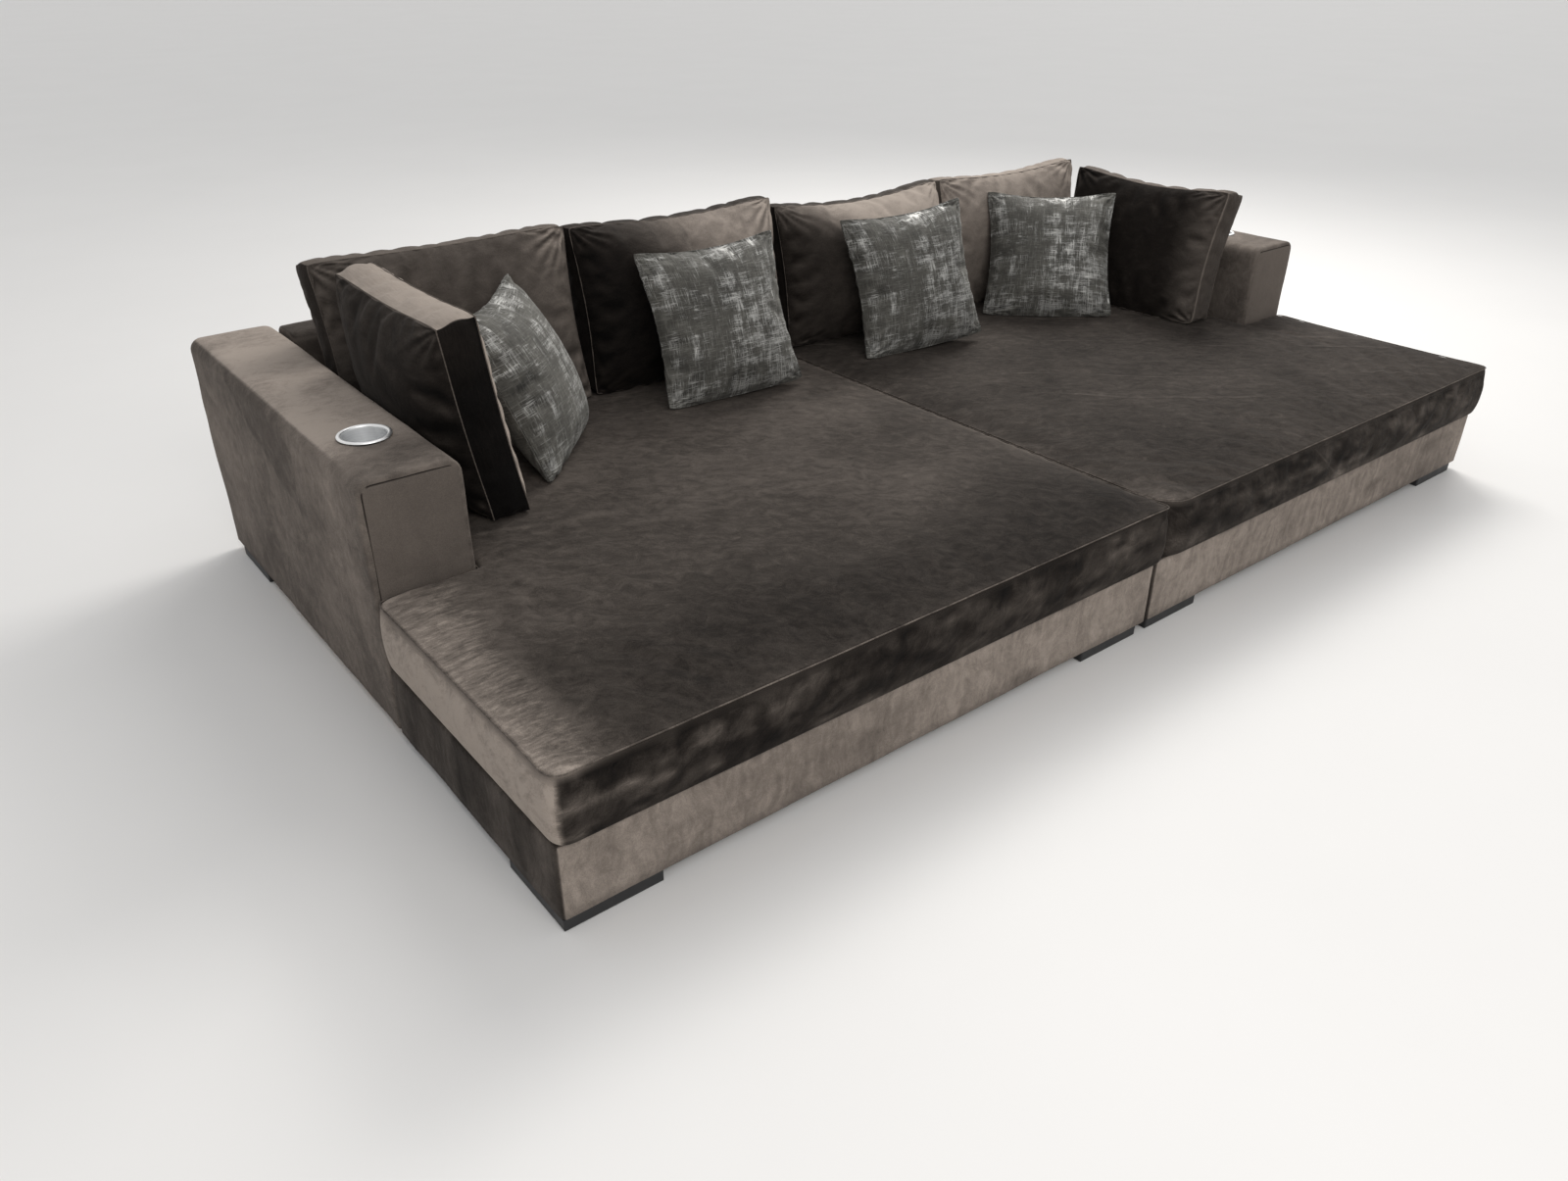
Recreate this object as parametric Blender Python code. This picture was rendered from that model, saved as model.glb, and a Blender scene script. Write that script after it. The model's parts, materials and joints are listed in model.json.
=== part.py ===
"""A deep two-module cinema lounge sofa, in metres, +Z up, front towards -Y.

The origin is on the floor under the middle of the sofa. Each module is a low base on block feet with an
outer arm, a low back, one thick seat cushion, loose cushions and throw pillows. The two modules mirror each
other, so they are modelled with u, the distance outward from the middle of the sofa.
"""

import math

import bmesh
import bpy
import numpy as np
from mathutils import Matrix, Vector
from mathutils.bvhtree import BVHTree

# Overall sizes of one module
MODULE_WIDTH = 1.700
BASE_DEPTH = 1.925
ARM_WIDTH = 0.233
ARM_SETBACK = 0.733
ARM_HEIGHT = 0.625
BACK_HEIGHT = 0.622
BACK_THICKNESS = 0.130
BASE_TOP = 0.198
SEAT_SEAM_HEIGHT = 0.356
FOOT_HEIGHT = 0.028

# Clearances between pieces
FIT_GAP = 0.0003
MODULE_GAP = 0.004
REST_GAP = 0.0006
SEAT_SIDE_GAP = 0.0008
HOLE_CLEARANCE = 0.0006
CUT_OVERRUN = 0.010

# Padded covers
COVER_THICKNESS = 0.012
DECK_THICKNESS = 0.008
DUST_COVER_THICKNESS = 0.001
BASE_EDGE_RADIUS = 0.012
ARM_EDGE_RADIUS = 0.034
BACK_EDGE_RADIUS = 0.030
END_EDGE_RADIUS = 0.009
PANEL_THICKNESS = 0.018
PANEL_EDGE_RADIUS = 0.003

# Timber frames
RAIL_THICKNESS = 0.025
RAIL_BAYS = 5
ARM_BAYS = 4
CORNER_BLOCK_LEG = 0.110
FIXING_RAIL_HEIGHT = 0.140

# Webbing
STRAP_WIDTH = 0.070
STRAP_THICKNESS = 0.002
STRAP_MARGIN = 0.090
STRAPS_ALONG = 6
STRAPS_ACROSS = 7

# Feet
FOOT_SIZE = 0.215
FOOT_EDGE_RADIUS = 0.004
FOOT_LEFT_INSET = 0.002
FOOT_RIGHT_INSET = 0.038
FOOT_REAR_INSET = 0.063

# Bolts that hold the arm and the back to the base
BOLT_RADIUS = 0.005
WASHER_RADIUS = 0.013
WASHER_THICKNESS = 0.002
HEX_ACROSS_FLATS = 0.017
HEX_HEIGHT = 0.0065
BOLT_HEIGHT = 0.105
BOLT_SIDES = 12

# Cup holder
CUP_SETBACK = 0.236
CUP_RIM_RADIUS = 0.059
CUP_MOUTH_RADIUS = 0.052
CUP_BODY_RADIUS = 0.050
CUP_FLOOR_RADIUS = 0.046
CUP_DEPTH = 0.070
CUP_WALL = 0.0015
CUP_RIM_HEIGHT = 0.0035
CUP_SIDES = 32

# Seat cushion
SEAT_OVERHANG = 0.014
SEAT_CROWN = 0.024
FREE_CROWN_REACH = 0.120
ARM_CROWN_REACH = 0.015
LOADED_CROWN_REACH = 0.380
SEAT_CORNER_RADIUS = 0.035
SEAT_BULGE = 0.008
SEAT_LOWER_ROUND = 0.014
SEAT_SHELL = 0.024
ZIP_LENGTH = 0.600
ZIP_GAP = 0.003

# Back cushions; each has settled to its own height, sag and crown
BACK_CUSHION_GAP = 0.004
BACK_CUSHION_HEIGHTS = {"outer_left": 0.488, "inner_left": 0.480, "inner_right": 0.450, "outer_right": 0.450}
BACK_CUSHION_EDGE = 0.088
BACK_CUSHION_DRAW = 0.020
BACK_CUSHION_SAGS = {"outer_left": 0.012, "inner_left": 0.024, "inner_right": 0.034, "outer_right": 0.026}
BACK_CUSHION_CROWNS = {"outer_left": 0.055, "inner_left": 0.125, "inner_right": 0.140, "outer_right": 0.055}
BACK_CUSHION_LEAN = math.radians(11)
BACK_CUSHION_REAR_CROWN = 0.182

# Side cushions
SIDE_CUSHION_WIDTHS = {"left": 0.595, "right": 0.645}
SIDE_CUSHION_HEIGHTS = {"left": 0.489, "right": 0.447}
SIDE_CUSHION_SAGS = {"left": 0.015, "right": 0.030}
SIDE_CUSHION_EDGE = 0.090
SIDE_CUSHION_DRAW = 0.022
SIDE_CUSHION_LEANS = {"left": math.radians(9), "right": math.radians(12)}
SIDE_CUSHION_INNER_CROWN = 0.045
SIDE_CUSHION_OUTER_CROWN = 0.080
SIDE_CUSHION_FORWARD = {"left": 0.002, "right": 0.030}
# The right one leans further out over the arm, so it keeps a little more off it
SIDE_CUSHION_STAND_OFFS = {"left": 0, "right": 0.0016}

# Throw pillows
PILLOW_WIDTH = 0.458
PILLOW_HEIGHT = 0.445
PILLOW_SEAM = 0.005
PILLOW_CROWN = 0.090
PILLOW_DRAW = 0.026
SETTLE_RETREAT = 0.004
DROP_HEIGHT = 0.150

# Where a pillow's middle stands: inward from the arm, forward from the back; its turn, lean and roll
PILLOW_PLACES = {
    "throw_pillow_corner_left": (0.458, 0.624, math.radians(48), math.radians(25), math.radians(0)),
    "throw_pillow_middle_left": (1.042, 0.680, math.radians(-7), math.radians(21), math.radians(-2)),
    "throw_pillow_middle_right": (1.148, 0.680, math.radians(-12), math.radians(20), math.radians(-4)),
    "throw_pillow_corner_right": (0.600, 0.680, math.radians(-45), math.radians(30), math.radians(-1)),
}

# How far a pillow keeps off what it leans on and off the seat where stuffed corners bulge towards each other
PILLOW_STAND_OFFS = {
    "throw_pillow_middle_right": (0, 0.0012),
    "throw_pillow_corner_right": (0.0022, 0),
}

# Places that follow from the sizes
FRONT_Y = (SEAT_OVERHANG + SEAT_BULGE - BASE_DEPTH) / 2
REAR_Y = FRONT_Y + BASE_DEPTH
ARM_FRONT_Y = FRONT_Y + ARM_SETBACK
BACK_FACE_Y = REAR_Y - BACK_THICKNESS
INNER_U = MODULE_GAP / 2
ARM_FACE_U = MODULE_WIDTH - ARM_WIDTH
CUP_U = MODULE_WIDTH - ARM_WIDTH / 2
CUP_Y = ARM_FRONT_Y + CUP_SETBACK
FRAME_BOTTOM = FOOT_HEIGHT + DUST_COVER_THICKNESS + FIT_GAP
FRAME_TOP = BASE_TOP - DECK_THICKNESS - 2 * STRAP_THICKNESS - 2 * FIT_GAP
FRAME_INSET = COVER_THICKNESS + FIT_GAP

SIDES = {"left": -1, "right": 1}
COLOURS = {
    "timber": (0.55, 0.40, 0.24, 1.0),
    "webbing": (0.16, 0.13, 0.11, 1.0),
    "velvet": (0.125, 0.100, 0.082, 1.0),
    "velvet_light": (0.21, 0.175, 0.15, 1.0),
    "foam": (0.78, 0.74, 0.58, 1.0),
    "dust_cloth": (0.02, 0.02, 0.02, 1.0),
    "black_foot": (0.015, 0.015, 0.017, 1.0),
    "steel": (0.55, 0.56, 0.58, 1.0),
    "aluminium": (0.72, 0.74, 0.76, 1.0),
    "foil_print": (0.20, 0.195, 0.175, 1.0),
}
METALLIC = {"steel": 0.9, "aluminium": 1.0}
ROUGHNESS = {"steel": 0.35, "aluminium": 0.32, "black_foot": 0.45, "timber": 0.6}
DULL = 0.9


def clear_scene():
    for item in list(bpy.data.objects):
        bpy.data.objects.remove(item, do_unlink=True)


def material_for(name, kind):
    """The object's own material, in the colour of its kind."""
    material = bpy.data.materials.new(name)
    material.use_nodes = True
    shader = material.node_tree.nodes["Principled BSDF"]
    shader.inputs["Base Color"].default_value = COLOURS[kind]
    shader.inputs["Roughness"].default_value = ROUGHNESS.get(kind, DULL)
    shader.inputs["Metallic"].default_value = METALLIC.get(kind, 0.0)
    return material


def add_object(name, bm, kind):
    """A bmesh becomes a named object with its faces pointing out."""
    bmesh.ops.recalc_face_normals(bm, faces=bm.faces)
    mesh = bpy.data.meshes.new(name)
    bm.to_mesh(mesh)
    bm.free()
    mesh.materials.append(material_for(name, kind))
    item = bpy.data.objects.new(name, mesh)
    bpy.context.scene.collection.objects.link(item)
    return item


def add_cutter(name, bm):
    item = add_object(name, bm, "steel")
    item.hide_render = True
    item.display_type = "WIRE"
    return item


def combine(item, other, operation):
    """A Boolean modifier that stays on its object."""
    modifier = item.modifiers.new(other.name, "BOOLEAN")
    modifier.operation = operation
    modifier.solver = "EXACT"
    modifier.object = other


def mirrored(side, u):
    return SIDES[side] * u


def box(side, u_range, y_range, z_range):
    """A box between two distances from the middle plane."""
    bm = bmesh.new()
    corners = {}
    for u in u_range:
        for y in y_range:
            for z in z_range:
                corners[u, y, z] = bm.verts.new((mirrored(side, u), y, z))
    (u0, u1), (y0, y1), (z0, z1) = u_range, y_range, z_range
    for face in (
        ((u0, y0, z0), (u1, y0, z0), (u1, y1, z0), (u0, y1, z0)),
        ((u0, y0, z1), (u1, y0, z1), (u1, y1, z1), (u0, y1, z1)),
        ((u0, y0, z0), (u1, y0, z0), (u1, y0, z1), (u0, y0, z1)),
        ((u0, y1, z0), (u1, y1, z0), (u1, y1, z1), (u0, y1, z1)),
        ((u0, y0, z0), (u0, y1, z0), (u0, y1, z1), (u0, y0, z1)),
        ((u1, y0, z0), (u1, y1, z0), (u1, y1, z1), (u1, y0, z1)),
    ):
        bm.faces.new([corners[point] for point in face])
    bmesh.ops.recalc_face_normals(bm, faces=bm.faces)
    return bm


def prism(side, outline, z_range):
    """An outline of (u, y) points raised from one height to another."""
    bm = bmesh.new()
    low = [bm.verts.new((mirrored(side, u), y, z_range[0])) for u, y in outline]
    high = [bm.verts.new((mirrored(side, u), y, z_range[1])) for u, y in outline]
    bm.faces.new(low)
    bm.faces.new(high)
    for here in range(len(outline)):
        there = (here + 1) % len(outline)
        bm.faces.new((low[here], low[there], high[there], high[here]))
    bmesh.ops.recalc_face_normals(bm, faces=bm.faces)
    return bm


def round_edges(bm, chosen, radius, segments):
    """Bevels the edges whose two end points pass the test."""
    edges = [edge for edge in bm.edges if chosen(edge.verts[0].co, edge.verts[1].co)]
    bmesh.ops.bevel(
        bm, geom=edges, offset=radius, segments=segments, profile=0.5, affect="EDGES", clamp_overlap=True
    )


def same(a, b):
    return math.isclose(a, b, abs_tol=FIT_GAP / 10)


def base_outline(inset):
    """The base seen from above: wide in front of the arm, narrower beside it."""
    rear_u = ARM_FACE_U - FIT_GAP - inset
    step_y = ARM_FRONT_Y - FIT_GAP - inset
    front, rear = FRONT_Y + inset, BACK_FACE_Y - FIT_GAP - inset
    inner, outer = INNER_U + inset, MODULE_WIDTH - inset
    return [(inner, front), (outer, front), (outer, step_y), (rear_u, step_y), (rear_u, rear), (inner, rear)]


def cell_plate(first_lines, second_lines, is_solid, low, high, place):
    """A board with windows: a grid of cells, some solid and some open, with straight walls between."""
    bm = bmesh.new()
    known = {}

    def vertex(i, j, level):
        if (i, j, level) not in known:
            known[i, j, level] = bm.verts.new(place(first_lines[i], second_lines[j], level))
        return known[i, j, level]

    columns, rows = len(first_lines) - 1, len(second_lines) - 1

    def solid(i, j):
        return 0 <= i < columns and 0 <= j < rows and is_solid(i, j)

    for i in range(columns):
        for j in range(rows):
            if not solid(i, j):
                continue
            for level in (low, high):
                bm.faces.new([vertex(*at, level) for at in ((i, j), (i + 1, j), (i + 1, j + 1), (i, j + 1))])
            for di, dj, start, end in (
                (-1, 0, (i, j), (i, j + 1)),
                (1, 0, (i + 1, j), (i + 1, j + 1)),
                (0, -1, (i, j), (i + 1, j)),
                (0, 1, (i, j + 1), (i + 1, j + 1)),
            ):
                if not solid(i + di, j + dj):
                    bm.faces.new((vertex(*start, low), vertex(*end, low), vertex(*end, high), vertex(*start, high)))
    return bm


def rail_lines(start, end, bays):
    """The edges of evenly spaced rails from start to end, a rail at both ends."""
    pitch = (end - start - RAIL_THICKNESS) / bays
    lines = []
    for rail in range(bays + 1):
        lines += [start + rail * pitch, start + rail * pitch + RAIL_THICKNESS]
    return lines


def bay_middle(lines, bay):
    """The middle of the open bay between two rails."""
    return (lines[2 * bay + 1] + lines[2 * bay + 2]) / 2


def arm_rail_lines():
    return rail_lines(ARM_FRONT_Y + PANEL_THICKNESS + FIT_GAP, REAR_Y - FRAME_INSET, ARM_BAYS)


def back_rail_lines():
    return rail_lines(INNER_U + FRAME_INSET, ARM_FACE_U - FIT_GAP - FRAME_INSET, RAIL_BAYS)


# Base: timber frame, webbing, padded cover and dust cover


def corner_blocks(side, places):
    """Glue blocks in the frame's corners, each a triangle standing on its legs' corner."""
    blocks = []
    for number, (u, y, u_way, y_way) in enumerate(places):
        outline = [(u, y), (u + u_way * CORNER_BLOCK_LEG, y), (u, y + y_way * CORNER_BLOCK_LEG)]
        name = f"corner_block_{number}_{side}"
        blocks.append(add_cutter(name, prism(side, outline, (FRAME_BOTTOM, FRAME_TOP))))
    return blocks


def seat_frame(side):
    """Perimeter boards with rails that run front to back, one noggin row and corner blocks."""
    outline = base_outline(FRAME_INSET)
    inner, front = outline[0]
    outer, step_y = outline[2]
    rear_u, rear = outline[4]
    u_lines = back_rail_lines() + [outer - RAIL_THICKNESS, outer]
    noggin = (step_y + rear) / 2
    y_lines = [front, front + RAIL_THICKNESS, step_y - RAIL_THICKNESS, step_y]
    y_lines += [noggin, noggin + RAIL_THICKNESS, rear - RAIL_THICKNESS, rear]
    last_narrow = 2 * RAIL_BAYS

    def is_solid(i, j):
        if i > last_narrow:
            return j <= 2 and (i == last_narrow + 2 or j % 2 == 0)
        return i % 2 == 0 or j % 2 == 0

    def place(u, y, z):
        return (mirrored(side, u), y, z)

    frame = add_object(
        f"seat_frame_{side}", cell_plate(u_lines, y_lines, is_solid, FRAME_BOTTOM, FRAME_TOP, place), "timber"
    )
    half = RAIL_THICKNESS / 2
    places = [
        (inner + half, front + half, 1, 1),
        (outer - half, front + half, -1, 1),
        (outer - half, step_y - half, -1, -1),
        (inner + half, rear - half, 1, -1),
        (rear_u - half, rear - half, -1, -1),
    ]
    for block in corner_blocks(side, places):
        combine(frame, block, "UNION")
    return frame


def spread_straps(start, end, count):
    """The edges of evenly spaced straps between two ends, with the ends themselves."""
    first, last = start + STRAP_MARGIN, end - STRAP_MARGIN - STRAP_WIDTH
    lines = [start]
    for strap in range(count):
        edge = first + (last - first) * strap / (count - 1)
        lines += [edge, edge + STRAP_WIDTH]
    return lines + [end]


def seat_webbing(side):
    """Interlaced straps: each passes over one crossing strap and under the next."""
    outline = base_outline(FRAME_INSET + RAIL_THICKNESS / 4)
    inner, front = outline[0]
    outer, step_y = outline[2]
    rear_u, rear = outline[4]
    u_lines = spread_straps(inner, rear_u, STRAPS_ALONG)
    y_lines = spread_straps(front, rear, STRAPS_ACROSS)
    middle = FRAME_TOP + FIT_GAP + STRAP_THICKNESS
    bm = bmesh.new()
    known = {}

    def vertex(i, j, level):
        if (i, j, level) not in known:
            u = u_lines[i]
            if i == len(u_lines) - 1 and y_lines[2 * ((j - 1) // 2) + 2] < step_y:
                u = outer
            z = middle + level * STRAP_THICKNESS
            known[i, j, level] = bm.verts.new((mirrored(side, u), y_lines[j], z))
        return known[i, j, level]

    def face(*corners):
        bm.faces.new([vertex(*corner) for corner in corners])

    def levels(along, across, runs_along):
        """Bottom and top of a strap at a crossing: over is 0 to 1, under is -1 to 0."""
        over = (along + across) % 2 == (0 if runs_along else 1)
        return (0, 1) if over else (-1, 0)

    def run(a, b, first_levels, last_levels, closed_start, closed_end):
        """One stretch of strap between two edges a and b, each a pair of (i, j)."""
        for level in (0, 1):
            face((*a[0], first_levels[level]), (*a[1], first_levels[level]),
                 (*b[1], last_levels[level]), (*b[0], last_levels[level]))
        for end in (0, 1):
            face((*a[end], first_levels[0]), (*a[end], first_levels[1]),
                 (*b[end], last_levels[1]), (*b[end], last_levels[0]))
        for edge, pair, closed in ((a, first_levels, closed_start), (b, last_levels, closed_end)):
            if closed:
                face((*edge[0], pair[0]), (*edge[1], pair[0]), (*edge[1], pair[1]), (*edge[0], pair[1]))

    for along in range(STRAPS_ALONG):
        i = 2 * along + 1
        for across in range(STRAPS_ACROSS):
            j = 2 * across + 1
            for level in (-1, 1):
                face((i, j, level), (i + 1, j, level), (i + 1, j + 1, level), (i, j + 1, level))
            bare = {True: levels(along, across, False), False: levels(along, across, True)}
            for edge, along_side in (
                (((i, j), (i + 1, j)), True),
                (((i, j + 1), (i + 1, j + 1)), True),
                (((i, j), (i, j + 1)), False),
                (((i + 1, j), (i + 1, j + 1)), False),
            ):
                low, high = bare[along_side]
                face((*edge[0], low), (*edge[1], low), (*edge[1], high), (*edge[0], high))
            here = levels(along, across, True)
            if across == 0:
                run(((i, 0), (i + 1, 0)), ((i, j), (i + 1, j)), here, here, True, False)
            last = across == STRAPS_ACROSS - 1
            after = here if last else levels(along, across + 1, True)
            run(((i, j + 1), (i + 1, j + 1)), ((i, j + 2), (i + 1, j + 2)), here, after, False, last)
            here = levels(along, across, False)
            if along == 0:
                run(((0, j), (0, j + 1)), ((i, j), (i, j + 1)), here, here, True, False)
            last = along == STRAPS_ALONG - 1
            after = here if last else levels(along + 1, across, False)
            run(((i + 1, j), (i + 1, j + 1)), ((i + 2, j), (i + 2, j + 1)), here, after, False, last)
    return add_object(f"seat_webbing_{side}", bm, "webbing")


def base_cover(side):
    """Padded cover over the deck and all the sides of the base, open underneath."""
    outline = base_outline(0)
    bm = prism(side, outline, (FOOT_HEIGHT, BASE_TOP))
    step_u, step_y = outline[3]

    def outer_edge(a, b):
        upright = same(a.x, b.x) and same(a.y, b.y)
        re_entrant = upright and same(abs(a.x), step_u) and same(a.y, step_y)
        return (upright and not re_entrant) or (same(a.z, BASE_TOP) and same(b.z, BASE_TOP))

    round_edges(bm, outer_edge, BASE_EDGE_RADIUS, 2)
    cover = add_object(f"base_cover_{side}", bm, "velvet_light")
    hollow = prism(side, base_outline(COVER_THICKNESS), (FOOT_HEIGHT - CUT_OVERRUN, BASE_TOP - DECK_THICKNESS))
    combine(cover, add_cutter(f"base_hollow_{side}", hollow), "DIFFERENCE")
    return cover


def dust_cover(side):
    bm = prism(side, base_outline(FRAME_INSET), (FOOT_HEIGHT, FOOT_HEIGHT + DUST_COVER_THICKNESS))
    return add_object(f"dust_cover_{side}", bm, "dust_cloth")


def feet(side):
    """Four block feet. Left-hand feet stand flush with the module's left edge, right-hand ones further in."""
    left_u, right_u = (MODULE_WIDTH, INNER_U) if side == "left" else (INNER_U, MODULE_WIDTH)
    way = 1 if side == "right" else -1
    left = sorted((left_u + way * FOOT_LEFT_INSET, left_u + way * (FOOT_LEFT_INSET + FOOT_SIZE)))
    right = sorted((right_u - way * FOOT_RIGHT_INSET, right_u - way * (FOOT_RIGHT_INSET + FOOT_SIZE)))
    ranges = {"outer": left, "inner": right} if side == "left" else {"outer": right, "inner": left}
    front = (FRONT_Y + FOOT_LEFT_INSET, FRONT_Y + FOOT_LEFT_INSET + FOOT_SIZE)
    rear = (REAR_Y - FOOT_REAR_INSET - FOOT_SIZE, REAR_Y - FOOT_REAR_INSET)
    made = []
    for end, y_range in (("front", front), ("rear", rear)):
        for place, u_range in ranges.items():
            bm = box(side, u_range, y_range, (0, FOOT_HEIGHT - FIT_GAP))
            round_edges(bm, lambda a, b: a.z < FIT_GAP and b.z < FIT_GAP, FOOT_EDGE_RADIUS, 2)
            round_edges(bm, lambda a, b: not same(a.z, b.z) and same(a.x, b.x) and same(a.y, b.y),
                        FOOT_EDGE_RADIUS, 2)
            made.append(add_object(f"foot_{end}_{place}_{side}", bm, "black_foot"))
    return made


# Arm and back: timber ladders in padded sleeves


def along_y(top):
    """Tests for the two long top edges of a bar that runs front to back."""
    return lambda a, b: same(a.z, top) and same(b.z, top) and same(a.x, b.x)


def along_x(top):
    return lambda a, b: same(a.z, top) and same(b.z, top) and same(a.y, b.y)


def arm_space(side, inset, front_inset, overrun):
    """The arm's form, drawn in by an inset, with its long top edges rounded to match."""
    top = ARM_HEIGHT - inset
    u_range = (ARM_FACE_U + inset, MODULE_WIDTH - inset)
    bm = box(side, u_range, (ARM_FRONT_Y + front_inset, REAR_Y - inset), (FOOT_HEIGHT - overrun, top))
    round_edges(bm, along_y(top), ARM_EDGE_RADIUS - min(inset, ARM_EDGE_RADIUS / 2), 4)
    return bm


def cup_hole(side):
    """Cuts the cup's place out of the top of the arm."""
    bm = bmesh.new()
    depth = CUP_DEPTH + CUT_OVERRUN
    spot = Matrix.Translation((mirrored(side, CUP_U), CUP_Y, ARM_HEIGHT + CUT_OVERRUN - depth / 2))
    bmesh.ops.create_cone(bm, cap_ends=True, segments=CUP_SIDES, depth=depth, matrix=spot,
                          radius1=CUP_BODY_RADIUS + HOLE_CLEARANCE, radius2=CUP_BODY_RADIUS + HOLE_CLEARANCE)
    return add_cutter(f"cup_hole_{side}", bm)


def arm(side):
    """Sleeve, front panel and timber ladder of one arm, with the cup's hole through the top."""
    hole = cup_hole(side)
    bm = arm_space(side, 0, 0, 0)
    ends = (ARM_FRONT_Y, REAR_Y)

    def end_edge(a, b):
        on_end = any(same(a.y, end) and same(b.y, end) for end in ends)
        return on_end and not (same(a.z, FOOT_HEIGHT) and same(b.z, FOOT_HEIGHT))

    round_edges(bm, end_edge, END_EDGE_RADIUS, 2)
    cover = add_object(f"arm_cover_{side}", bm, "velvet_light")
    hollow = add_cutter(f"arm_hollow_{side}", arm_space(side, COVER_THICKNESS, -CUT_OVERRUN, CUT_OVERRUN))
    combine(cover, hollow, "DIFFERENCE")
    combine(cover, hole, "DIFFERENCE")

    bm = arm_space(side, FRAME_INSET, 0, 0)
    panel_rear = ARM_FRONT_Y + PANEL_THICKNESS
    bmesh.ops.bisect_plane(bm, geom=bm.verts[:] + bm.edges[:] + bm.faces[:], plane_co=(0, panel_rear, 0),
                           plane_no=(0, 1, 0), clear_outer=True)
    bmesh.ops.holes_fill(bm, edges=[edge for edge in bm.edges if edge.is_boundary])
    round_edges(bm, lambda a, b: same(a.y, ARM_FRONT_Y) and same(b.y, ARM_FRONT_Y)
                and not (same(a.z, FOOT_HEIGHT) and same(b.z, FOOT_HEIGHT)), PANEL_EDGE_RADIUS, 1)
    add_object(f"arm_front_panel_{side}", bm, "velvet_light")

    bottom, top = FOOT_HEIGHT + FIT_GAP, ARM_HEIGHT - FRAME_INSET
    inner, outer = ARM_FACE_U + FRAME_INSET, MODULE_WIDTH - FRAME_INSET
    y_lines = arm_rail_lines()
    z_lines = [bottom, bottom + RAIL_THICKNESS, top - RAIL_THICKNESS, top]
    plate = cell_plate(y_lines, z_lines, lambda i, j: i % 2 == 0 or j != 1, inner, outer,
                       lambda y, z, u: (mirrored(side, u), y, z))
    frame = add_object(f"arm_frame_{side}", plate, "timber")
    half = RAIL_THICKNESS / 2
    rail = box(side, (inner, inner + RAIL_THICKNESS), (y_lines[0] + half, y_lines[-1] - half),
               (bottom, bottom + FIXING_RAIL_HEIGHT))
    combine(frame, add_cutter(f"arm_fixing_rail_{side}", rail), "UNION")
    form = arm_space(side, FRAME_INSET, 0, CUT_OVERRUN)
    combine(frame, add_cutter(f"arm_form_{side}", form), "INTERSECT")
    combine(frame, hole, "DIFFERENCE")
    return cover, frame


def back_space(side, inset, overrun):
    top = BACK_HEIGHT - inset
    u_range = (INNER_U + inset, ARM_FACE_U - FIT_GAP - inset)
    bm = box(side, u_range, (BACK_FACE_Y + inset, REAR_Y - inset), (FOOT_HEIGHT - overrun, top))
    round_edges(bm, along_x(top), BACK_EDGE_RADIUS - min(inset, BACK_EDGE_RADIUS / 2), 4)
    return bm


def back(side):
    """Sleeve and timber ladder of the low back."""
    bm = back_space(side, 0, 0)
    ends = (INNER_U, ARM_FACE_U - FIT_GAP)

    def end_edge(a, b):
        on_end = any(same(abs(a.x), end) and same(abs(b.x), end) for end in ends)
        return on_end and not (same(a.z, FOOT_HEIGHT) and same(b.z, FOOT_HEIGHT))

    round_edges(bm, end_edge, END_EDGE_RADIUS, 2)
    cover = add_object(f"back_cover_{side}", bm, "velvet_light")
    hollow = add_cutter(f"back_hollow_{side}", back_space(side, COVER_THICKNESS, CUT_OVERRUN))
    combine(cover, hollow, "DIFFERENCE")

    front, rear = BACK_FACE_Y + FRAME_INSET, REAR_Y - FRAME_INSET
    bottom, top = FOOT_HEIGHT + FIT_GAP, BACK_HEIGHT - FRAME_INSET
    u_lines = back_rail_lines()
    z_lines = [bottom, bottom + RAIL_THICKNESS, top - RAIL_THICKNESS, top]
    plate = cell_plate(u_lines, z_lines, lambda i, j: i % 2 == 0 or j != 1, front, rear,
                       lambda u, z, y: (mirrored(side, u), y, z))
    frame = add_object(f"back_frame_{side}", plate, "timber")
    half = RAIL_THICKNESS / 2
    rail = box(side, (u_lines[0] + half, u_lines[-1] - half), (front, front + RAIL_THICKNESS),
               (bottom, bottom + FIXING_RAIL_HEIGHT))
    combine(frame, add_cutter(f"back_fixing_rail_{side}", rail), "UNION")
    form = back_space(side, FRAME_INSET, CUT_OVERRUN)
    combine(frame, add_cutter(f"back_form_{side}", form), "INTERSECT")
    return cover, frame


# Bolts, each with its washers and nut


def ring_stack(rings, sides, place):
    """Rings of points joined into one turned body; a ring is a distance along and a radius function."""
    bm = bmesh.new()
    made = []
    for along, radius in rings:
        row = []
        for step in range(sides):
            angle = math.tau * step / sides
            reach = radius(angle)
            row.append(bm.verts.new(place(along, reach * math.cos(angle), reach * math.sin(angle))))
        made.append(row)
    for row, following in zip(made, made[1:]):
        for step in range(sides):
            after = (step + 1) % sides
            bm.faces.new((row[step], row[after], following[after], following[step]))
    bm.faces.new(made[0])
    bm.faces.new(made[-1])
    return bm


def hexagon(angle):
    """The reach of a hexagon at an angle, from its flats."""
    sector = math.tau / 6
    return HEX_ACROSS_FLATS / 2 / math.cos((angle % sector) - sector / 2)


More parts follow.
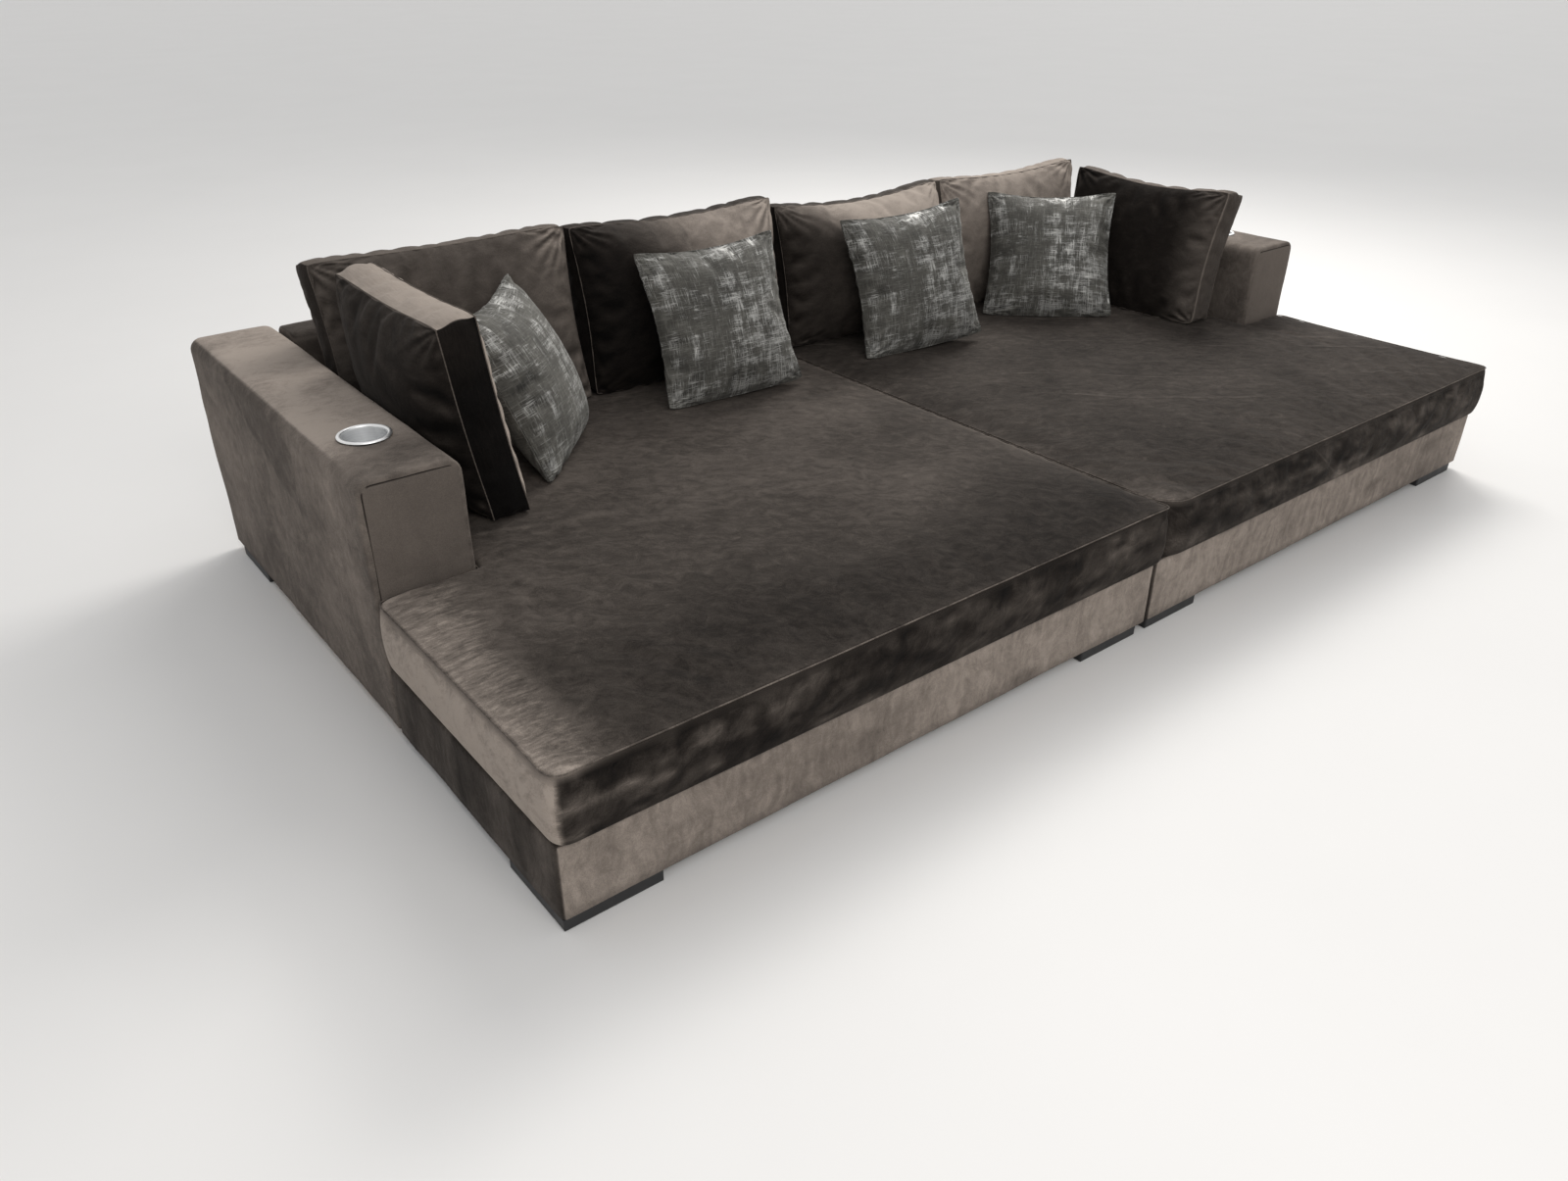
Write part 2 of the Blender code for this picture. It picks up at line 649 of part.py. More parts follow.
def bolt(name, grip, place):
    """A hexagon bolt through a grip that runs from 0, with a washer at each end and a nut."""
    start, end = -FIT_GAP, grip + FIT_GAP

    def washer(angle):
        return WASHER_RADIUS

    def shank(angle):
        return BOLT_RADIUS

    rings = [
        (start - WASHER_THICKNESS - HEX_HEIGHT, hexagon),
        (start - WASHER_THICKNESS, hexagon),
        (start - WASHER_THICKNESS, washer),
        (start, washer),
        (start, shank),
        (end, shank),
        (end, washer),
        (end + WASHER_THICKNESS, washer),
        (end + WASHER_THICKNESS, hexagon),
        (end + WASHER_THICKNESS + HEX_HEIGHT, hexagon),
    ]
    return add_object(name, ring_stack(rings, BOLT_SIDES, place), "steel")


def bolt_hole(name, grip, place):
    def reach(angle):
        return BOLT_RADIUS + HOLE_CLEARANCE

    rings = [(-CUT_OVERRUN, reach), (grip + CUT_OVERRUN, reach)]
    return add_cutter(name, ring_stack(rings, BOLT_SIDES, place))


def bolts(side, frame, seat_cover, arm_parts, back_parts):
    """Bolts from inside the arm and the back into the rails of the seat frame."""
    rear_start = BACK_FACE_Y - FIT_GAP - FRAME_INSET
    arm_lines, back_lines = arm_rail_lines(), back_rail_lines()
    grip = 2 * (FRAME_INSET + RAIL_THICKNESS) + FIT_GAP
    start_u = ARM_FACE_U + FRAME_INSET + RAIL_THICKNESS
    for end, y in (("front", bay_middle(arm_lines, 0)), ("rear", bay_middle(arm_lines, ARM_BAYS - 2))):
        def place(along, a, b, y=y):
            return (mirrored(side, start_u - along), y + a, BOLT_HEIGHT + b)
        bolt(f"arm_bolt_{end}_{side}", grip, place)
        hole = bolt_hole(f"arm_bolt_hole_{end}_{side}", grip, place)
        for piece in (frame, seat_cover, *arm_parts):
            combine(piece, hole, "DIFFERENCE")
    start_y = rear_start + grip - RAIL_THICKNESS
    for end, u in (("inner", bay_middle(back_lines, 0)), ("outer", bay_middle(back_lines, RAIL_BAYS - 1))):
        def place(along, a, b, u=u):
            return (mirrored(side, u) + a, start_y - along, BOLT_HEIGHT + b)
        bolt(f"back_bolt_{end}_{side}", grip, place)
        hole = bolt_hole(f"back_bolt_hole_{end}_{side}", grip, place)
        for piece in (frame, seat_cover, *back_parts):
            combine(piece, hole, "DIFFERENCE")


def cup_holder(side):
    """A drop-in cup turned from sheet, with a rolled rim that rests on the arm."""
    rim = CUP_RIM_HEIGHT
    profile = [
        (CUP_FLOOR_RADIUS, -CUP_DEPTH),
        (CUP_BODY_RADIUS, -CUP_DEPTH + CUP_WALL * 4),
        (CUP_BODY_RADIUS, 0),
        (CUP_RIM_RADIUS, 0),
        (CUP_RIM_RADIUS, rim / 2),
        ((CUP_RIM_RADIUS + CUP_MOUTH_RADIUS) / 2, rim),
        (CUP_MOUTH_RADIUS, rim * 0.8),
        (CUP_BODY_RADIUS - CUP_WALL, rim / 3),
        (CUP_BODY_RADIUS - CUP_WALL, -CUP_DEPTH + CUP_WALL * 5),
        (CUP_FLOOR_RADIUS - CUP_WALL, -CUP_DEPTH + CUP_WALL),
    ]
    rings = [(height, lambda angle, reach=reach: reach) for reach, height in profile]
    base = ARM_HEIGHT + FIT_GAP

    def place(along, a, b):
        return (a, b, along)

    item = add_object(f"cup_holder_{side}", ring_stack(rings, CUP_SIDES, place), "aluminium")
    item.location = (mirrored(side, CUP_U), CUP_Y, base)
    item.data.shade_smooth()
    item.data.set_sharp_from_angle(angle=math.radians(40))
    return item


# Seat cushion: a boxed cover over a foam block


def seat_outline(inset):
    """The seat cushion's plan, a gap clear of the arm, the back and the other module."""
    inner = SEAT_SIDE_GAP / 2 + inset
    outer = MODULE_WIDTH - inset
    rear_u = ARM_FACE_U - SEAT_SIDE_GAP - inset
    front = FRONT_Y - SEAT_OVERHANG + inset
    step_y = ARM_FRONT_Y - SEAT_SIDE_GAP - inset
    rear = BACK_FACE_Y - SEAT_SIDE_GAP - inset
    return [(inner, front), (outer, front), (outer, step_y), (rear_u, step_y), (rear_u, rear), (inner, rear)]


def crown_share(u, y, outline):
    """How much of the crown a point has: less near a seam, least near the loaded rear, full close to the arm."""
    share = 1
    reaches = [FREE_CROWN_REACH, FREE_CROWN_REACH, ARM_CROWN_REACH, ARM_CROWN_REACH, LOADED_CROWN_REACH,
               FREE_CROWN_REACH]
    for reach, (u0, y0), (u1, y1) in zip(reaches, outline, outline[1:] + outline[:1]):
        du = max(min(u0, u1) - u, 0, u - max(u0, u1))
        dy = max(min(y0, y1) - y, 0, y - max(y0, y1))
        share = min(share, 1 - math.exp(-math.hypot(du, dy) / reach))
    return share


def graded(low, high, count, fine):
    """Lines from low to high, closer together near both ends."""
    inner = [low + fine + (high - low - 2 * fine) * step / count for step in range(count + 1)]
    return [low, low + fine / 3] + inner + [high - fine / 3, high]


def rounded_corner(u, y, corner_u, corner_y, u_way, y_way):
    """Moves a point near a square corner so that the corner becomes a quarter circle."""
    a = SEAT_CORNER_RADIUS - (u - corner_u) * u_way
    b = SEAT_CORNER_RADIUS - (y - corner_y) * y_way
    if a <= 0 or b <= 0:
        return u, y
    shrink = max(a, b) / math.hypot(a, b)
    return (corner_u + u_way * (SEAT_CORNER_RADIUS - a * shrink),
            corner_y + y_way * (SEAT_CORNER_RADIUS - b * shrink))


def seat_cushion(side):
    """A crowned top over an L-shaped plan, with boxing that bulges where nothing holds it."""
    outline = seat_outline(0)
    (inner, front), (outer, _), (_, step_y), (rear_u, _), (_, rear) = outline[:5]
    fine = SEAT_CORNER_RADIUS
    u_lines = graded(inner, rear_u, 5, fine) + [(rear_u + outer) / 2, outer - fine, outer - fine / 3, outer]
    y_lines = graded(front, step_y, 3, fine) + graded(step_y, rear, 4, fine)[1:]
    notch_i, notch_j = u_lines.index(rear_u), y_lines.index(step_y)
    corners = [(inner, front, 1, 1), (outer, front, -1, 1), (outer, step_y, -1, -1),
               (rear_u, rear, -1, -1), (inner, rear, 1, -1)]
    bottom, seam = BASE_TOP + FIT_GAP, SEAT_SEAM_HEIGHT
    bm = bmesh.new()
    top = {}

    def inside(i, j):
        return 0 <= i < len(u_lines) - 1 and 0 <= j < len(y_lines) - 1 and (i < notch_i or j < notch_j)

    for i, u in enumerate(u_lines):
        for j, y in enumerate(y_lines):
            if i > notch_i and j > notch_j:
                continue
            rise = SEAT_CROWN * crown_share(u, y, outline)
            place = (u, y)
            for corner in corners:
                place = rounded_corner(*place, *corner)
            top[i, j] = bm.verts.new((mirrored(side, place[0]), place[1], seam + rise))
    for i in range(len(u_lines) - 1):
        for j in range(len(y_lines) - 1):
            if inside(i, j):
                a, b, c, d = top[i, j], top[i + 1, j], top[i + 1, j + 1], top[i, j + 1]
                along_ac = a.co.z + c.co.z >= b.co.z + d.co.z
                for corners_of_face in (((a, b, c), (a, c, d)) if along_ac else ((a, b, d), (b, c, d))):
                    bm.faces.new(corners_of_face)

    last_i, last_j = len(u_lines) - 1, len(y_lines) - 1
    loop = [(i, 0) for i in range(last_i)] + [(last_i, j) for j in range(notch_j)]
    loop += [(i, notch_j) for i in range(last_i, notch_i, -1)] + [(notch_i, j) for j in range(notch_j, last_j)]
    loop += [(i, last_j) for i in range(notch_i, 0, -1)] + [(0, j) for j in range(last_j, 0, -1)]
    walls = [(0, SEAT_LOWER_ROUND), (SEAT_LOWER_ROUND / 3, SEAT_LOWER_ROUND / 3), (SEAT_LOWER_ROUND, 0),
             ((seam - bottom) / 2, 0)]
    rows = []
    for height, draw in walls:
        bulge = SEAT_BULGE * math.sin(math.pi * height / (seam - bottom))
        row = []
        for i, j in loop:
            u, y = abs(top[i, j].co.x), top[i, j].co.y
            free_front = j == 0
            free_outer = i == last_i and j < notch_j
            centre_u = min(max(u, inner + fine), (rear_u if j > notch_j else outer) - fine)
            centre_y = min(max(y, front + fine), (step_y if i > notch_i else rear) - fine)
            if i == notch_i and j == notch_j:
                centre_u, centre_y = u - fine, y - fine
            away = Vector((u - centre_u, y - centre_y))
            away = away.normalized() if away.length > 0 else away
            u += bulge * free_outer - draw * away.x
            y += -bulge * free_front - draw * away.y
            row.append(bm.verts.new((mirrored(side, u), y, bottom + height)))
        rows.append(row)
    rows.append([top[at] for at in loop])
    for row, following in zip(rows, rows[1:]):
        for here in range(len(loop)):
            there = (here + 1) % len(loop)
            bm.faces.new((row[here], row[there], following[there], following[here]))
    bm.faces.new(rows[0])
    cushion = add_object(f"seat_cushion_{side}", bm, "velvet")

    core_low, core_high = bottom + SEAT_SHELL / 2, seam - SEAT_SHELL / 2
    room = prism(side, seat_outline(SEAT_SHELL - FIT_GAP), (core_low - FIT_GAP, core_high + FIT_GAP))
    combine(cushion, add_cutter(f"seat_room_{side}", room), "DIFFERENCE")
    middle_u, middle_z = (inner + rear_u) / 2, (core_low + core_high) / 2
    zip_slot = box(side, (middle_u - ZIP_LENGTH / 2, middle_u + ZIP_LENGTH / 2),
                   (rear - SEAT_SHELL - CUT_OVERRUN / 10, rear + CUT_OVERRUN),
                   (middle_z - ZIP_GAP / 2, middle_z + ZIP_GAP / 2))
    combine(cushion, add_cutter(f"zip_slot_{side}", zip_slot), "DIFFERENCE")
    core = add_object(f"seat_core_{side}", prism(side, seat_outline(SEAT_SHELL), (core_low, core_high)), "foam")
    return cushion, core


# Loose cushions


def cushion_mesh(size, crowns, draw, sag, lean, columns, rows):
    """A filled cushion about its middle: crowned faces, sides drawn in and a top that sags between its corners.

    X is its width, Z its height, and its front faces -Y. The bottom carries weight, so it stays straight and is
    pressed level for a cushion that leans back.
    """
    width, height, edge = size
    front_crown, rear_crown = crowns
    bm = bmesh.new()
    front, rear = {}, {}
    for i in range(columns + 1):
        for j in range(rows + 1):
            u = math.sin(math.pi / 2 * (2 * i / columns - 1))
            v = math.sin(math.pi / 2 * (2 * j / rows - 1))
            x = u * (width / 2 - draw * (1 - v * v))
            z = v * height / 2 - sag * (1 - u * u) * max(v, 0)
            puff = ((1 - abs(u) ** 2.5) * (1 - abs(v) ** 2.5)) ** 0.6
            level = edge / 2 * math.tan(lean) * ((1 - v) / 2) ** 2
            front[i, j] = bm.verts.new((x, -edge / 2 - front_crown * puff, z - level))
            rear[i, j] = bm.verts.new((x, edge / 2 + rear_crown * puff, z + level))
    for i in range(columns):
        for j in range(rows):
            corners = ((i, j), (i + 1, j), (i + 1, j + 1), (i, j + 1))
            bm.faces.new([front[at] for at in corners])
            bm.faces.new([rear[at] for at in corners])
    loop = [(i, 0) for i in range(columns)] + [(columns, j) for j in range(rows)]
    loop += [(i, rows) for i in range(columns, 0, -1)] + [(0, j) for j in range(rows, 0, -1)]
    for at, after in zip(loop, loop[1:] + loop[:1]):
        bm.faces.new((front[at], front[after], rear[after], rear[at]))
    bmesh.ops.triangulate(bm, faces=bm.faces)
    bmesh.ops.recalc_face_normals(bm, faces=bm.faces)
    return bm


def turned(yaw, lean, roll):
    return Matrix.Rotation(yaw, 4, "Z") @ Matrix.Rotation(-lean, 4, "X") @ Matrix.Rotation(roll, 4, "Y")


def placed_bmesh(item):
    """The object's own mesh in world space, in triangles."""
    bm = bmesh.new()
    bm.from_mesh(item.data)
    bm.transform(Matrix.LocRotScale(item.location, item.rotation_euler, None))
    bmesh.ops.triangulate(bm, faces=bm.faces)
    return bm


def edge_ends(bm):
    return np.array([[vertex.co[:] for vertex in edge.verts] for edge in bm.edges])


def crossing_distances(moving, fixed, direction):
    """Distances along a direction at which an edge of one mesh meets an edge of the other."""
    side = direction.orthogonal().normalized()
    axes = np.array([side[:], direction.cross(side)[:], direction[:]]).T
    a, b = edge_ends(moving) @ axes, edge_ends(fixed) @ axes
    start_a, run_a = a[:, None, 0], (a[:, 1] - a[:, 0])[:, None]
    start_b, run_b = b[None, :, 0], (b[:, 1] - b[:, 0])[None]
    between = start_b - start_a
    turn = run_a[..., 0] * run_b[..., 1] - run_a[..., 1] * run_b[..., 0]
    turn = np.where(np.abs(turn) < np.finfo(float).eps, np.nan, turn)
    share_a = (between[..., 0] * run_b[..., 1] - between[..., 1] * run_b[..., 0]) / turn
    share_b = (between[..., 0] * run_a[..., 1] - between[..., 1] * run_a[..., 0]) / turn
    meets = (share_a >= 0) & (share_a <= 1) & (share_b >= 0) & (share_b <= 1)
    distance = between[..., 2] + share_b * run_b[..., 2] - share_a * run_a[..., 2]
    return distance[meets & (distance > 0)]


def travel(item, supports, direction):
    """How far an object can move along a direction before it meets one of its supports."""
    moving = placed_bmesh(item)
    moving_tree = BVHTree.FromBMesh(moving)
    free = math.inf
    for support in supports:
        fixed = placed_bmesh(support)
        fixed_tree = BVHTree.FromBMesh(fixed)
        for points, tree, way in ((moving, fixed_tree, direction), (fixed, moving_tree, -direction)):
            for vertex in points.verts:
                distance = tree.ray_cast(vertex.co, way)[3]
                if distance is not None:
                    free = min(free, distance)
        free = min([free, *crossing_distances(moving, fixed, direction)])
        fixed.free()
    moving.free()
    return free


def move_to_rest(item, supports, direction):
    """Moves an object along a direction until it lies a rest gap from its supports."""
    direction = Vector(direction).normalized()
    free = travel(item, supports, direction)
    if math.isfinite(free):
        item.location += direction * (float(free) - REST_GAP)


def settle(item, seats, pushes):
    """Lowers a cushion on its seat and pushes it against what it leans on, then once more from close by."""
    down = Vector((0, 0, -1))
    for _ in range(2):
        move_to_rest(item, seats, down)
        for supports, direction in pushes:
            move_to_rest(item, supports, direction)
        item.location -= down * SETTLE_RETREAT
        for _, direction in pushes:
            item.location -= Vector(direction).normalized() * SETTLE_RETREAT
    everything = seats + [support for supports, _ in pushes for support in supports]
    move_to_rest(item, everything, down)
    for _, direction in pushes:
        move_to_rest(item, everything, direction)


def loose_cushion(name, bm, kind, place, turn):
    item = add_object(name, bm, kind)
    item.location = place
    item.rotation_euler = turned(*turn).to_euler()
    return item


def back_cushions(side, seats, back_cover):
    """Two boxed cushions that fill the width between the middle and the arm."""
    pitch = ARM_FACE_U / 2
    made = {}
    for place, centre in (("inner", pitch / 2), ("outer", pitch * 3 / 2)):
        height = BACK_CUSHION_HEIGHTS[f"{place}_{side}"]
        size = (pitch - BACK_CUSHION_GAP, height, BACK_CUSHION_EDGE)
        crowns = (BACK_CUSHION_CROWNS[f"{place}_{side}"], BACK_CUSHION_REAR_CROWN)
        sag = BACK_CUSHION_SAGS[f"{place}_{side}"]
        bm = cushion_mesh(size, crowns, BACK_CUSHION_DRAW, sag, BACK_CUSHION_LEAN, 10, 8)
        start_y = BACK_FACE_Y - BACK_CUSHION_EDGE - BACK_CUSHION_REAR_CROWN - height / 2
        start_z = SEAT_SEAM_HEIGHT + SEAT_CROWN + height / 2 + DROP_HEIGHT
        start = (mirrored(side, centre), start_y, start_z)
        turn = (0, BACK_CUSHION_LEAN, 0)
        item = loose_cushion(f"back_cushion_{place}_{side}", bm, "velvet", start, turn)
        settle(item, seats, [([back_cover], (0, 1, 0))])
        made[place] = item
    return made


def side_cushion(side, seats, arm_cover, neighbour):
    """A boxed cushion that leans on the arm, its rear end against the outer back cushion."""
    width, height = SIDE_CUSHION_WIDTHS[side], SIDE_CUSHION_HEIGHTS[side]
    size = (width, height, SIDE_CUSHION_EDGE)
    crowns = (SIDE_CUSHION_INNER_CROWN, SIDE_CUSHION_OUTER_CROWN)
    lean = SIDE_CUSHION_LEANS[side]
    bm = cushion_mesh(size, crowns, SIDE_CUSHION_DRAW, SIDE_CUSHION_SAGS[side], lean, 8, 8)
    inward = SIDE_CUSHION_EDGE + SIDE_CUSHION_OUTER_CROWN + height / 2
    start_z = SEAT_SEAM_HEIGHT + SEAT_CROWN + height / 2 + DROP_HEIGHT
    start = (mirrored(side, ARM_FACE_U - inward), ARM_FRONT_Y + width / 2, start_z)
    yaw = mirrored(side, -math.pi / 2)
    item = loose_cushion(f"side_cushion_{side}", bm, "velvet", start, (yaw, lean, 0))
    outward = (mirrored(side, 1), 0, 0)
    settle(item, seats, [([arm_cover], outward), ([neighbour], (0, 1, 0))])
    item.location.y -= SIDE_CUSHION_FORWARD[side]
    settle(item, seats, [([arm_cover], outward)])
    item.location.x -= mirrored(side, SIDE_CUSHION_STAND_OFFS[side])
    return item


def throw_pillow(name, side, seats, leans_on):
    """A knife-edge pillow that stands on the seat and leans on what is behind it."""
    size = (PILLOW_WIDTH, PILLOW_HEIGHT, PILLOW_SEAM)
    bm = cushion_mesh(size, (PILLOW_CROWN, PILLOW_CROWN), PILLOW_DRAW, PILLOW_DRAW, 0, 8, 8)
    from_arm, from_back, yaw, lean, roll = PILLOW_PLACES[name]
    start_z = SEAT_SEAM_HEIGHT + SEAT_CROWN + PILLOW_HEIGHT / 2 + DROP_HEIGHT
    start = (mirrored(side, ARM_FACE_U - from_arm), BACK_FACE_Y - from_back, start_z)
    item = loose_cushion(name, bm, "foil_print", start, (yaw, lean, roll))
    settle(item, seats, [(leans_on, (-math.sin(yaw), math.cos(yaw), 0))])
    away, up = PILLOW_STAND_OFFS.get(name, (0, 0))
    item.location += Vector((math.sin(yaw) * away, -math.cos(yaw) * away, up))
    return item


def module_body(side):
    """Everything of one module that is fixed together, and its seat cushion."""
    frame = seat_frame(side)
    seat_webbing(side)
    cover = base_cover(side)
    dust_cover(side)
    feet(side)
    arm_cover, arm_frame = arm(side)
    back_cover, back_frame = back(side)
    bolts(side, frame, cover, (arm_cover, arm_frame), (back_cover, back_frame))
    cup_holder(side)
    cushion, _ = seat_cushion(side)
    return cushion, arm_cover, back_cover


def build():
    clear_scene()
    bodies = {side: module_body(side) for side in SIDES}
    seats = [cushion for cushion, _, _ in bodies.values()]
    for side, (_, arm_cover, back_cover) in bodies.items():
        backs = back_cushions(side, seats, back_cover)
        leaning = side_cushion(side, seats, arm_cover, backs["outer"])
        throw_pillow(f"throw_pillow_middle_{side}", side, seats, [backs["inner"]])
        throw_pillow(f"throw_pillow_corner_{side}", side, seats, [backs["outer"], leaning])


build()
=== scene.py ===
import json
import math

import bmesh
import bpy
import numpy as np
from mathutils import Matrix, Vector
from mathutils.bvhtree import BVHTree

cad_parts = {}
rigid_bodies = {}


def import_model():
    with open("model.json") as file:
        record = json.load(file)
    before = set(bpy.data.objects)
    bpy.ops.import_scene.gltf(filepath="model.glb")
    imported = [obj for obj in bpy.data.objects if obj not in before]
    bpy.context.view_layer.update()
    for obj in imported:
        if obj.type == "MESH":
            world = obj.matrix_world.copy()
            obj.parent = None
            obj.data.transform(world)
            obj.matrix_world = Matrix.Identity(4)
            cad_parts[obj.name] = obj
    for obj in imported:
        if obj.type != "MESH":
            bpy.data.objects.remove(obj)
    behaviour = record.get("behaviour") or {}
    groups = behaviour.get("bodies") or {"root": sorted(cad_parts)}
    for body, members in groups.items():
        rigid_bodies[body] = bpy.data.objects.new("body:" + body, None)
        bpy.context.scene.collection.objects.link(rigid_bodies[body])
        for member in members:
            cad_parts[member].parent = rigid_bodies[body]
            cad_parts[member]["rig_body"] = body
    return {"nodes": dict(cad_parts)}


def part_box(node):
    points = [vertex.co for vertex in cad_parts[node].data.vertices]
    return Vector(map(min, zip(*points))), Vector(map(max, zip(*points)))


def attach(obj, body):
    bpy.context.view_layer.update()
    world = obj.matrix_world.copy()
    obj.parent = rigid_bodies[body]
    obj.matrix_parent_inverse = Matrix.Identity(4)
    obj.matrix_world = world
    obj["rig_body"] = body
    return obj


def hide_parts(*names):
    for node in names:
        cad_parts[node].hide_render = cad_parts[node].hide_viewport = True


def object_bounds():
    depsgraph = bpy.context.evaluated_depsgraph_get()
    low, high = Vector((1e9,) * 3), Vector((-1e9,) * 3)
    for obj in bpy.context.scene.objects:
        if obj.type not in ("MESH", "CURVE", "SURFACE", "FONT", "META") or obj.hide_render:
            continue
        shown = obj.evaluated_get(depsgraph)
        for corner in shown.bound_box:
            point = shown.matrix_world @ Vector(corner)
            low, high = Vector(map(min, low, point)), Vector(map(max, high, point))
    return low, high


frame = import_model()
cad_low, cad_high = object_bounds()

# Camera, from the photograph's straight edges
PHOTO_WIDTH = 1600
FOCAL_PIXELS = 1191.23
SENSOR_WIDTH = 36
CAMERA_PLACE = (-2.345, -2.3873, 1.5785)
CAMERA_YAW = math.radians(51.36)
CAMERA_PITCH = math.radians(-29.56)
CAMERA_ROLL = math.radians(0.27)

# Lights: place, target, size in metres, watts and colour of each area light, then the sun and the world
AREA_LIGHTS = {
    "key": ((3.2, 1.9, 3.9), (0, 0, 0.3), (2.4, 1.6), 145, (1.0, 0.98, 0.95)),
    "front": ((-1.8, -4.2, 3.4), (0, 0, 0.2), (3.2, 1.8), 74, (1.0, 0.98, 0.955)),
}
SUN_STRENGTH = 0.65
SUN_ANGLE = math.radians(30)
SUN_COLOUR = (1.0, 0.985, 0.96)
SUN_WAY = (-3.2, -1.9, -3.9)
WORLD_COLOUR = (0.95, 0.97, 1.0, 1)
WORLD_STRENGTH = 0.55
SEEN_COLOUR = (0.80, 0.79, 0.775, 1)
FLOOR_SIZE = 40
FLOOR_DROP = 0.0002

# Arms, backs and the base, in metres
BASE_EDGE_RADIUS = 0.012
ARM_EDGE_RADIUS = 0.036
BACK_EDGE_RADIUS = 0.032
END_EDGE_RADIUS = 0.010
PANEL_INSET = 0.014
PANEL_FRONT_RADIUS = 0.004
PANEL_SHADOW_WIDTH = 0.003
COVER_THICKNESS = 0.010
SLICE = 0.024
ARM_UNEVEN = 0.0018
BASE_UNEVEN = 0.0012

# Loose cushions: turn, lean and roll in degrees, then edge, front and rear crown, drawn-in sides, sag of the
# top edge and rounding of the corners in metres
PILLOW_FORM = (0.005, 0.090, 0.090, 0.026, 0.026, 0.006)
FORMS = {
    "back_cushion_outer_left": ((0, 11, 0), 0.088, 0.055, 0.182, 0.020, 0.012, 0.010),
    "back_cushion_inner_left": ((0, 11, 0), 0.088, 0.125, 0.182, 0.020, 0.024, 0.010),
    "back_cushion_inner_right": ((0, 11, 0), 0.088, 0.140, 0.182, 0.020, 0.034, 0.010),
    "back_cushion_outer_right": ((0, 11, 0), 0.088, 0.055, 0.182, 0.020, 0.026, 0.010),
    "side_cushion_left": ((90, 9, 0), 0.090, 0.045, 0.080, 0.022, 0.015, 0.008),
    "side_cushion_right": ((-90, 12, 0), 0.090, 0.045, 0.080, 0.022, 0.030, 0.012),
    "throw_pillow_corner_left": ((48, 25, 0), *PILLOW_FORM),
    "throw_pillow_middle_left": ((-7, 21, -2), *PILLOW_FORM),
    "throw_pillow_middle_right": ((-12, 20, -4), *PILLOW_FORM),
    "throw_pillow_corner_right": ((-45, 30, -1), *PILLOW_FORM),
}

# Kinds of loose cushion: slot, columns, rows and strips of the grid, fill, spare cloth, depth of its creases,
# then number and depth of the folds at each top corner and at each lower one
KINDS = {
    "back_cushion": ("velvet", 64, 46, 8, 0.7, 0.035, 1.0, (9, 0.009), (6, 0.005)),
    "side_cushion": ("velvet", 56, 46, 8, 0.7, 0.035, 1.0, (8, 0.007), (6, 0.005)),
    "throw_pillow": ("foil_print", 48, 48, 2, 0.6, 0.05, 1.15, (5, 0.004), (7, 0.007)),
}
CORNERS = ((-1, 1), (1, 1), (-1, -1), (1, -1))
BOXING_BULGE = 0.007
HEM_FINENESS = 14
GATHER_DEPTH = 0.0022
ARC_DEPTH = 0.0018
ON_EDGE = 0.999

# Painted sheen of the pile, standing in for how it takes the light: 0 is pile that swallows the light, 1 is
# pile laid flat towards it. Front, rear, then boxing by side:
# left, right, bottom and top as the cushion's own front shows them
BOXED_SHEEN = {
    "back_cushion_outer_left": (0.52, 0.50, (0.26, 0.50, 0.30, 0.66)),
    "back_cushion_inner_left": (0.42, 0.50, (0.10, 0.50, 0.20, 0.34)),
    "back_cushion_inner_right": (0.54, 0.50, (0.16, 0.50, 0.20, 0.42)),
    "back_cushion_outer_right": (0.92, 0.50, (0.66, 0.50, 0.60, 0.94)),
    "side_cushion_left": (1.00, 0.12, (0.00, 0.40, 0.10, 1.00)),
    "side_cushion_right": (0.17, 0.20, (0.42, 0.50, 0.24, 0.66)),
}
# Painted sheen and shade elsewhere, 0 dark to 1 light: arm front panels, the painted shadow line at a panel's
# edges, seam beads, pillow seams, arms, the base by face, backs and the seats' undersides
PANEL_SHEEN = {"left": 0.66, "right": 0.73}
PANEL_SHADOW_LINE = 0.26
SEAM_SHEEN = 0.62
PILLOW_SEAM_SHEEN = 0.45
ARM_SHEEN = 0.68
BASE_SHEEN = {"front": 0.86, "side": 0.40, "rest": 0.42}
BACK_SHEEN = 0.58
UNDERSIDE_SHEEN = 0.3

# The seat cushions: height of the seam, crown, and its reach from a free edge, the arm and a loaded edge
SEAT_SEAM_HEIGHT = 0.356
SEAT_CROWN = 0.024
FREE_REACH = 0.120
ARM_REACH = 0.015
LOADED_REACH = 0.380
SEAT_FILL = 0.7
SEAT_BULGE = 0.008
SEAT_LOWER_ROUND = 0.014
PUCKER_DEPTH = 0.0016
PUCKER_SIZE = 0.16

# Their grid: spacing, width of the fine lines at an edge, where those lie and where the boxing's rows lie
SEAT_SPACING = 0.017
SEAT_FINE = 0.07
FINE_SHARES = np.array((0, 0.10, 0.24, 0.42, 0.68))
OVERHANG_LINES = 12
WALL_SHARES = np.append(np.linspace(1, 0.12, 9)[1:], (0.05, 0.015, 0))

# Radius of a seat's corners: at the middle in front, at the outer front, and the rest
SEAT_CORNERS = {"left": (0.016, 0.036, 0.030), "right": (0.080, 0.030, 0.030)}

# Slanting folds near the right end of the right seat: distance from the middle and depth
SLANTING_FOLDS = ((1.05, 0.006), (1.20, 0.007), (1.31, 0.006), (1.42, 0.008), (1.50, 0.006), (1.58, 0.006))
FOLD_SLANT = 0.17
FOLD_WIDTH = 0.016
BOXING_HEIGHT = 0.16

